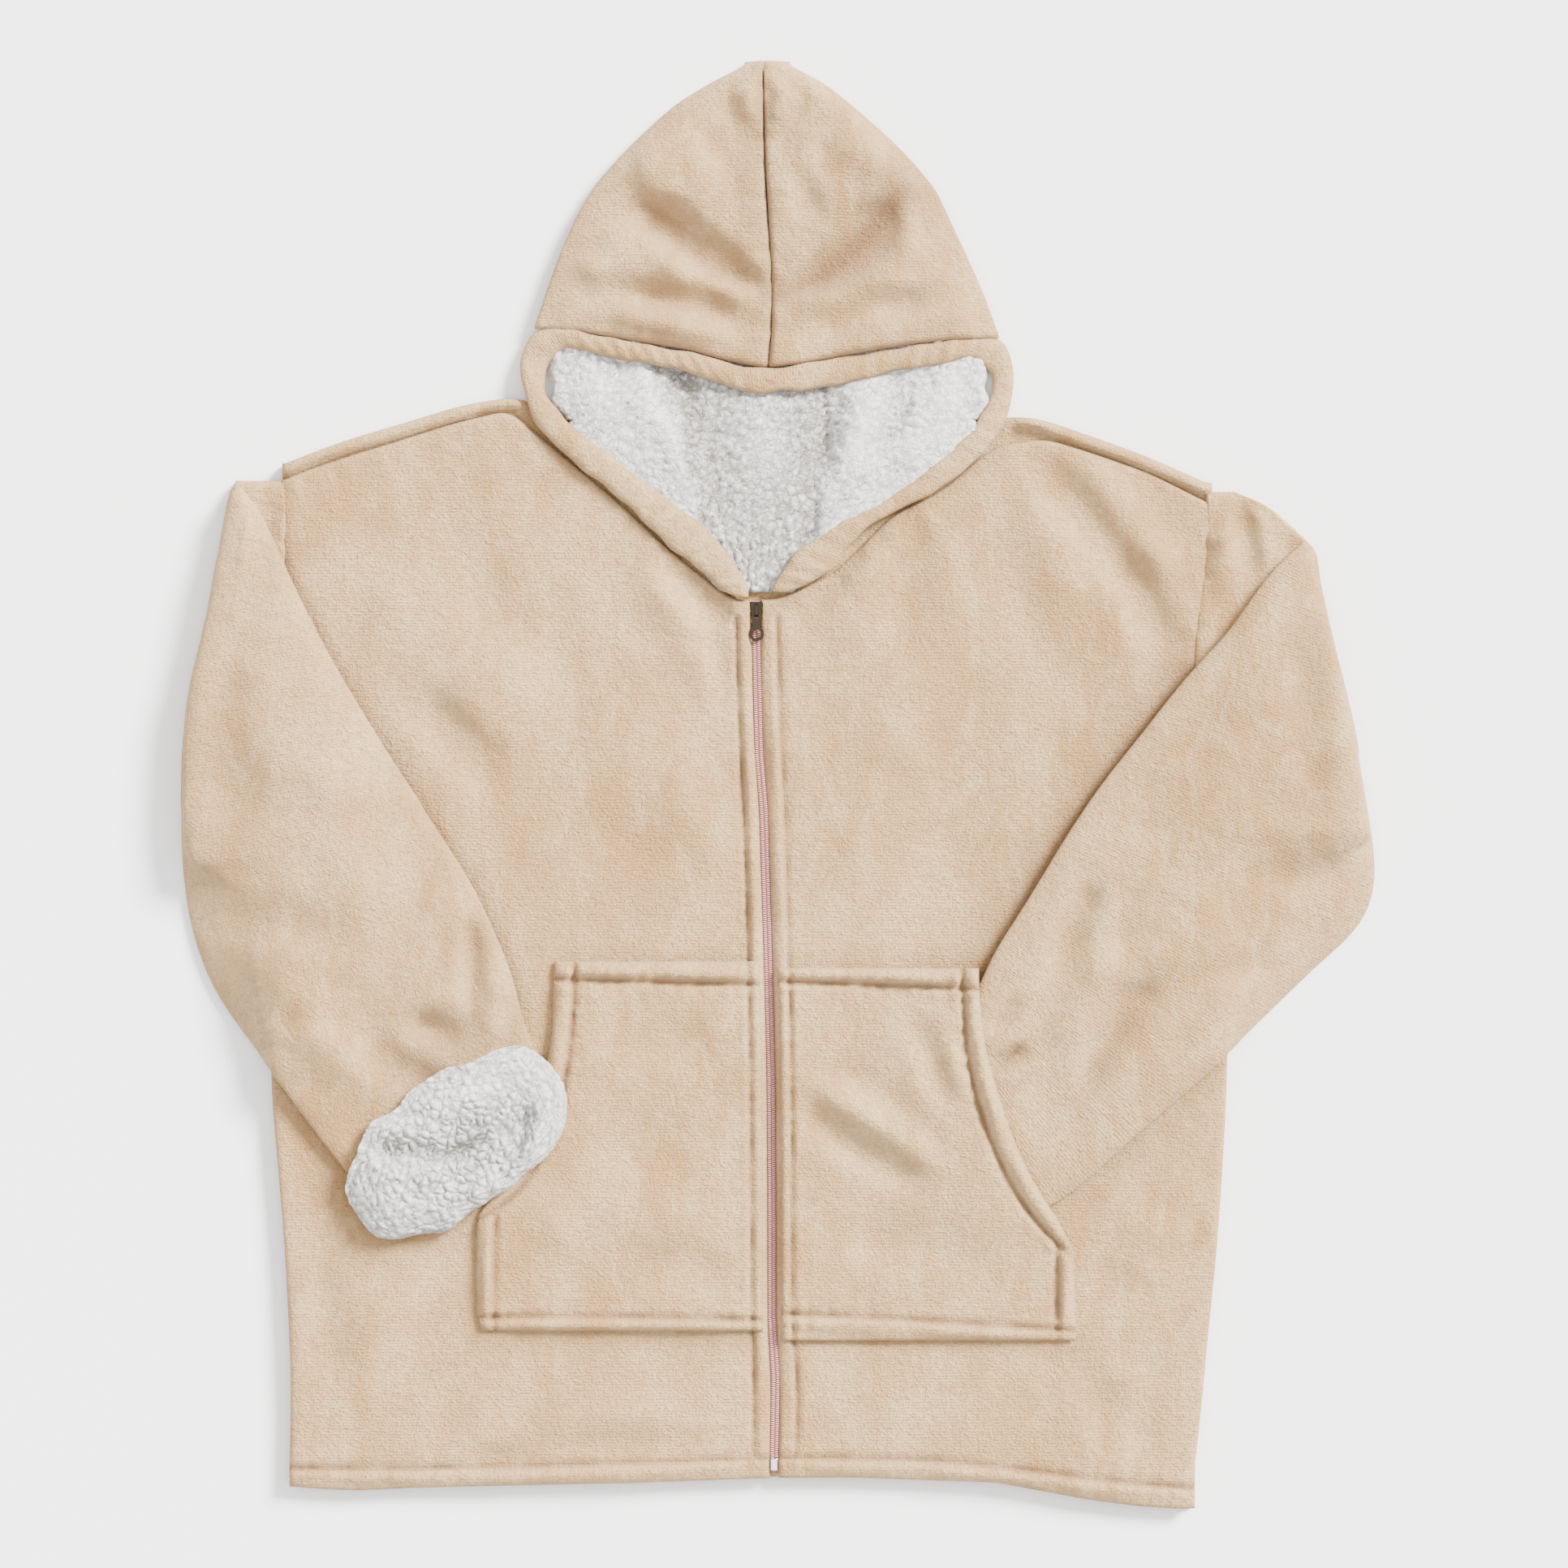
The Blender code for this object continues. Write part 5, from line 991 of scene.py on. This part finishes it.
def buildBand():
    sizes = {"around": 40, "along": 560, "height": 12.5, "pucker": 0.7}
    table, at = stationsOf(bandRungs, sizes["along"], 5.0)
    cx, cy = 0.5 * (table[:, 0] + table[:, 2]), 0.5 * (table[:, 1] + table[:, 3])
    for other in ("hood_band_brim", "hood_band_left", "hood_band_right"):
        cadReader(other)
    bandTrees = ["cad_hood_band_brim", "cad_hood_band_left", "cad_hood_band_right"]
    top = topOf(bandTrees, cx, cy)
    good = top > 0
    top = blurred(np.interp(at, at[good], top[good]), 9.0)
    turns = 2 * pi * np.arange(sizes["around"]) / sizes["around"]
    side, up = -np.cos(turns), np.sin(turns)
    side, up = np.sign(side) * np.abs(side) ** 0.86, np.sign(up) * np.abs(up) ** 0.8
    x, y, z = (np.zeros((len(turns), len(at))) for _ in range(3))
    taper = 0.5 + 0.5 * eased(at / 16.0) * eased((at[-1] - at) / 16.0)
    for j in range(len(at)):
        swell = 1.0 + 0.06 * sin(at[j] / 9.0 + 2.0 * sin(at[j] / 31.0)) + 0.05 * sin(at[j] / 4.3)
        half = 0.5 * sizes["height"] * taper[j]
        x[:, j] = cx[j] + 0.5 * (table[j, 2] - table[j, 0]) * side * swell * 1.04
        y[:, j] = cy[j] + 0.5 * (table[j, 3] - table[j, 1]) * side * swell * 1.04
        z[:, j] = top[j] - half + half * up * (1.0 + 0.5 * (swell - 1.0))
    flat = x.ravel(), y.ravel(), z.ravel()
    lift = 0.9 * cloud(*flat, 24.0, 15) + 0.5 * cloud(*flat, 9.0, 16)
    run = np.tile(at, (len(turns), 1))
    wave = np.sin(2 * pi * run / 13.0 + 2.0 * np.sin(run / 27.0)) * (0.5 + 0.5 * np.sin(run / 41.0))
    pucker = sizes["pucker"] * wave * np.clip(up, 0.0, 1.0)[:, None]
    z += lift.reshape(x.shape) * np.clip(up, 0.0, 1.0)[:, None] + pucker
    # Painted shade on the band's flanks and in the troughs of its puckers
    rollShade = 0.6 * np.clip(1.0 - 1.25 * np.abs(up)[:, None], 0.0, 1.0)
    paintedShade = np.clip(-0.25 * pucker, 0.0, 1.0) + rollShade + 0.0 * x
    return tubeGrid("hood_rolled_band", np.stack([x, y, z], 2), {"paintedShade": paintedShade, "rib": run}, fleece,
        ["hood_band_brim", "hood_band_left", "hood_band_right"])


bandPiece = buildBand()


# Turned-back cuff: a plump ring of the curly side round a closed mouth
cuffOutline = [(-307, -274), (-290, -243), (-278, -235), (-259, -216), (-240, -205), (-222, -197),
    (-205, -191), (-182, -188), (-167, -193), (-157, -206), (-151, -226), (-153, -245), (-165, -260),
    (-174, -274), (-197, -287), (-217, -303), (-232, -314), (-253, -320), (-276, -328), (-290, -320),
    (-303, -306), (-311, -289)]


def buildCuff():
    sizes = {"x": -230.0, "y": -261.0, "turn": 24.0, "rise": 25.0, "around": 220, "steps": 74,
        "clump": 6.6, "slitLong": 12.5, "slitShort": 2.4}
    across = 2 * pi * np.arange(sizes["around"]) / sizes["around"]
    share = np.concatenate([np.linspace(0.0, 1.0, sizes["steps"]) ** 0.9, [0.97, 0.85]])
    c, s = cos(radians(sizes["turn"])), sin(radians(sizes["turn"]))
    a, t = np.meshgrid(across, share, indexing="ij")
    outline = np.array(cuffOutline, float) - (sizes["x"], sizes["y"])
    order = np.argsort(np.arctan2(outline[:, 1], outline[:, 0]))
    angles, radii = np.arctan2(outline[order, 1], outline[order, 0]), np.hypot(*outline[order].T)
    radius = np.interp(across, angles, radii, period=2 * pi)
    radius = blurred(np.concatenate([radius[-20:], radius, radius[:20]]), 3.0)[20:-20]
    radius += 1.5 * np.sin(7 * across + 0.6) + 1.2 * np.sin(11 * across + 2.0)
    slitLong = sizes["slitLong"] * np.cos(a - radians(sizes["turn"]))
    slitShort = sizes["slitShort"] * np.sin(a - radians(sizes["turn"]))
    slitX, slitY = slitLong * c - slitShort * s, slitLong * s + slitShort * c
    x = sizes["x"] + between(slitX, radius[:, None] * np.cos(a), t)
    y = sizes["y"] + between(slitY, radius[:, None] * np.sin(a), t)
    under = ["front_panel_left", "patch_pocket_left"]
    ground = topOf(under, x.ravel(), y.ravel()).reshape(x.shape)
    ground = np.maximum(ground, 16.0)
    ground = blurred(np.concatenate([ground[-30:], ground, ground[:30]], 0), 7.0, 0)[30:-30]
    rim = np.sqrt(np.clip(1.0 - (np.clip(t - 0.55, 0.0, 1.0) / 0.45) ** 2, 0.0, 1.0))
    rim = np.maximum(rim, 0.72 * eased(1.6 * np.cos(a - radians(130.0))) + 0.0 * t)
    dip = 13.0 * np.clip(1.0 - t / 0.30, 0.0, 1.0) ** 1.5
    top = ground + 0.6 + sizes["rise"] * (0.24 + 0.76 * rim) - dip
    flat = x.ravel(), y.ravel(), top.ravel()
    clump = clumpHeight(*flat, sizes["clump"]).reshape(x.shape)
    small = (0.5 + 0.5 * cloud(*flat, 2.4, 21)).reshape(x.shape)
    folds = [
        ([(-292, -258), (-262, -262), (-238, -262)], -3, 7),
        ([(-268, -292), (-246, -276)], -2.2, 6),
        ([(-206, -250), (-186, -236), (-168, -232)], -2.6, 7),
        ([(-258, -236), (-230, -222), (-200, -216)], 2.4, 9),
        ([(-222, -296), (-196, -276)], 2, 9),
    ]
    lift = foldLift(flat[0], flat[1], folds).reshape(x.shape)
    top = top + (4.6 * np.sqrt(clump) + 1.0 * small - 2.6 + 1.4 * lift) * (0.35 + 0.65 * rim)
    out = 1.0 + 0.018 * (np.sqrt(clump) - 0.5) * np.clip((t - 0.8) / 0.2, 0.0, 1.0)
    x = sizes["x"] + (x - sizes["x"]) * out
    y = sizes["y"] + (y - sizes["y"]) * out
    top[:, -1] = ground[:, -1] + 0.4
    top[:, -2] = ground[:, -2] + 2.0
    # Painted shade: darker down into the closed mouth, between the clumps and in fold troughs, with a
    # random tone on top
    depth = np.clip(t / 0.10, 0.0, 1.0)
    toneAndShade = np.clip(0.70 * np.sqrt(clump) + 0.30 * small + 0.07 * lift, 0.0, 1.0) * (0.25 + 0.75 * depth)
    return tubeGrid("turned_cuff_left", np.stack([x, y, top], 2), {"clump": toneAndShade}, sherpa,
        ["cuff_left"])


cuffPiece = buildCuff()

# Zip: two columns of coil, tape, slider, pull and box
zipLine = [(-492, -4.4), (-479.7, -4.4), (-424, -3.4), (-381.1, -6.1), (-317.3, -6.1), (-205.3, -6.7),
    (-77.7, -10.2), (-19.7, -11.9), (20.9, -15.4), (96.3, -17.1), (132, -17.1)]


def zipAt(y):
    return float(np.interp(y, [p[0] for p in zipLine], [p[1] for p in zipLine]))


def buildCoil():
    sizes = {"pitch": 1.55, "from": -481.0, "to": 118.6, "half": 1.7, "thick": 0.62, "deep": 1.15,
        "z": 13.75}
    bm = bmesh.new()
    count = int((sizes["to"] - sizes["from"]) / sizes["pitch"])
    for side in (-1, 1):
        for k in range(count):
            y = sizes["from"] + (k + (0.25 if side > 0 else -0.25)) * sizes["pitch"]
            x = zipAt(y) + side * 1.5
            turn = Matrix.Rotation(side * radians(9.0), 4, "Z")
            size = Matrix.Diagonal((sizes["half"] * mm, sizes["thick"] * mm, sizes["deep"] * mm, 1.0))
            bmesh.ops.create_uvsphere(bm, u_segments=8, v_segments=5, radius=1.0,
                matrix=Matrix.Translation((x * mm, y * mm, sizes["z"] * mm)) @ turn @ size)
    mesh = bpy.data.meshes.new("zip_coil_teeth")
    bm.to_mesh(mesh)
    bm.free()
    mesh.shade_smooth()
    piece = placed("zip_coil_teeth", mesh, coilMaterial)
    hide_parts("zip_chain")
    return piece


coilPiece = buildCoil()
for nodeName, metal in (("zip_tape", tapeMaterial), ("zip_slider", antiqueNickel),
    ("zip_pull", antiqueNickel), ("zip_box", brightNickel)):
    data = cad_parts[nodeName].data
    data.materials.clear()
    data.materials.append(metal)
print("pieces done")


def softLight(name, place, size, power, colour="#FFFFFF", kind="AREA"):
    data = bpy.data.lights.new(name, kind)
    if kind == "SUN":
        data.angle = size
    else:
        data.shape = "SQUARE"
        data.size = size
    data.energy = power
    data.color = linear(colour)[:3]
    lamp = bpy.data.objects.new(name, data)
    lamp.location = place
    lamp.rotation_euler = (-Vector(place)).to_track_quat("-Z", "Y").to_euler()
    bpy.context.scene.collection.objects.link(lamp)
    return lamp


def finishScene():
    sizes = {"floor": 6.0, "below": 0.0005, "lens": 128.0, "sensor": 36.0, "reach": 30.0, "glow": 1.4}
    floorMesh = bmesh.new()
    bmesh.ops.create_grid(floorMesh, x_segments=1, y_segments=1, size=sizes["floor"])
    data = bpy.data.meshes.new("floor")
    floorMesh.to_mesh(data)
    floorMesh.free()
    floor = bpy.data.objects.new("floor", data)
    floor.location = (0.0, 0.0, -sizes["below"])
    bpy.context.scene.collection.objects.link(floor)
    data.materials.append(plainMaterial("floor_paper", "#FAFAFA", 0.9))
    softLight("key_window", (2.3, 1.9, 2.1), radians(20.0), 15.2, "#FFFDFA", "SUN")
    softLight("fill_softbox", (-1.4, -0.8, 2.4), 2.4, 26.0)
    softLight("top_softbox", (0.2, 0.1, 3.2), 2.4, 46.0)
    world = bpy.data.worlds.new("studio")
    world.use_nodes = True
    background = world.node_tree.nodes["Background"]
    background.inputs[0].default_value = (1.0, 1.0, 1.0, 1.0)
    background.inputs[1].default_value = sizes["glow"]
    bpy.context.scene.world = world
    data = bpy.data.cameras.new("overhead")
    data.lens = sizes["lens"]
    data.sensor_width = sizes["sensor"]
    data.clip_end = sizes["reach"]
    camera = bpy.data.objects.new("overhead", data)
    camera.location = (0.0026, 0.0, 4.0)
    bpy.context.scene.collection.objects.link(camera)
    bpy.context.scene.camera = camera


finishScene()
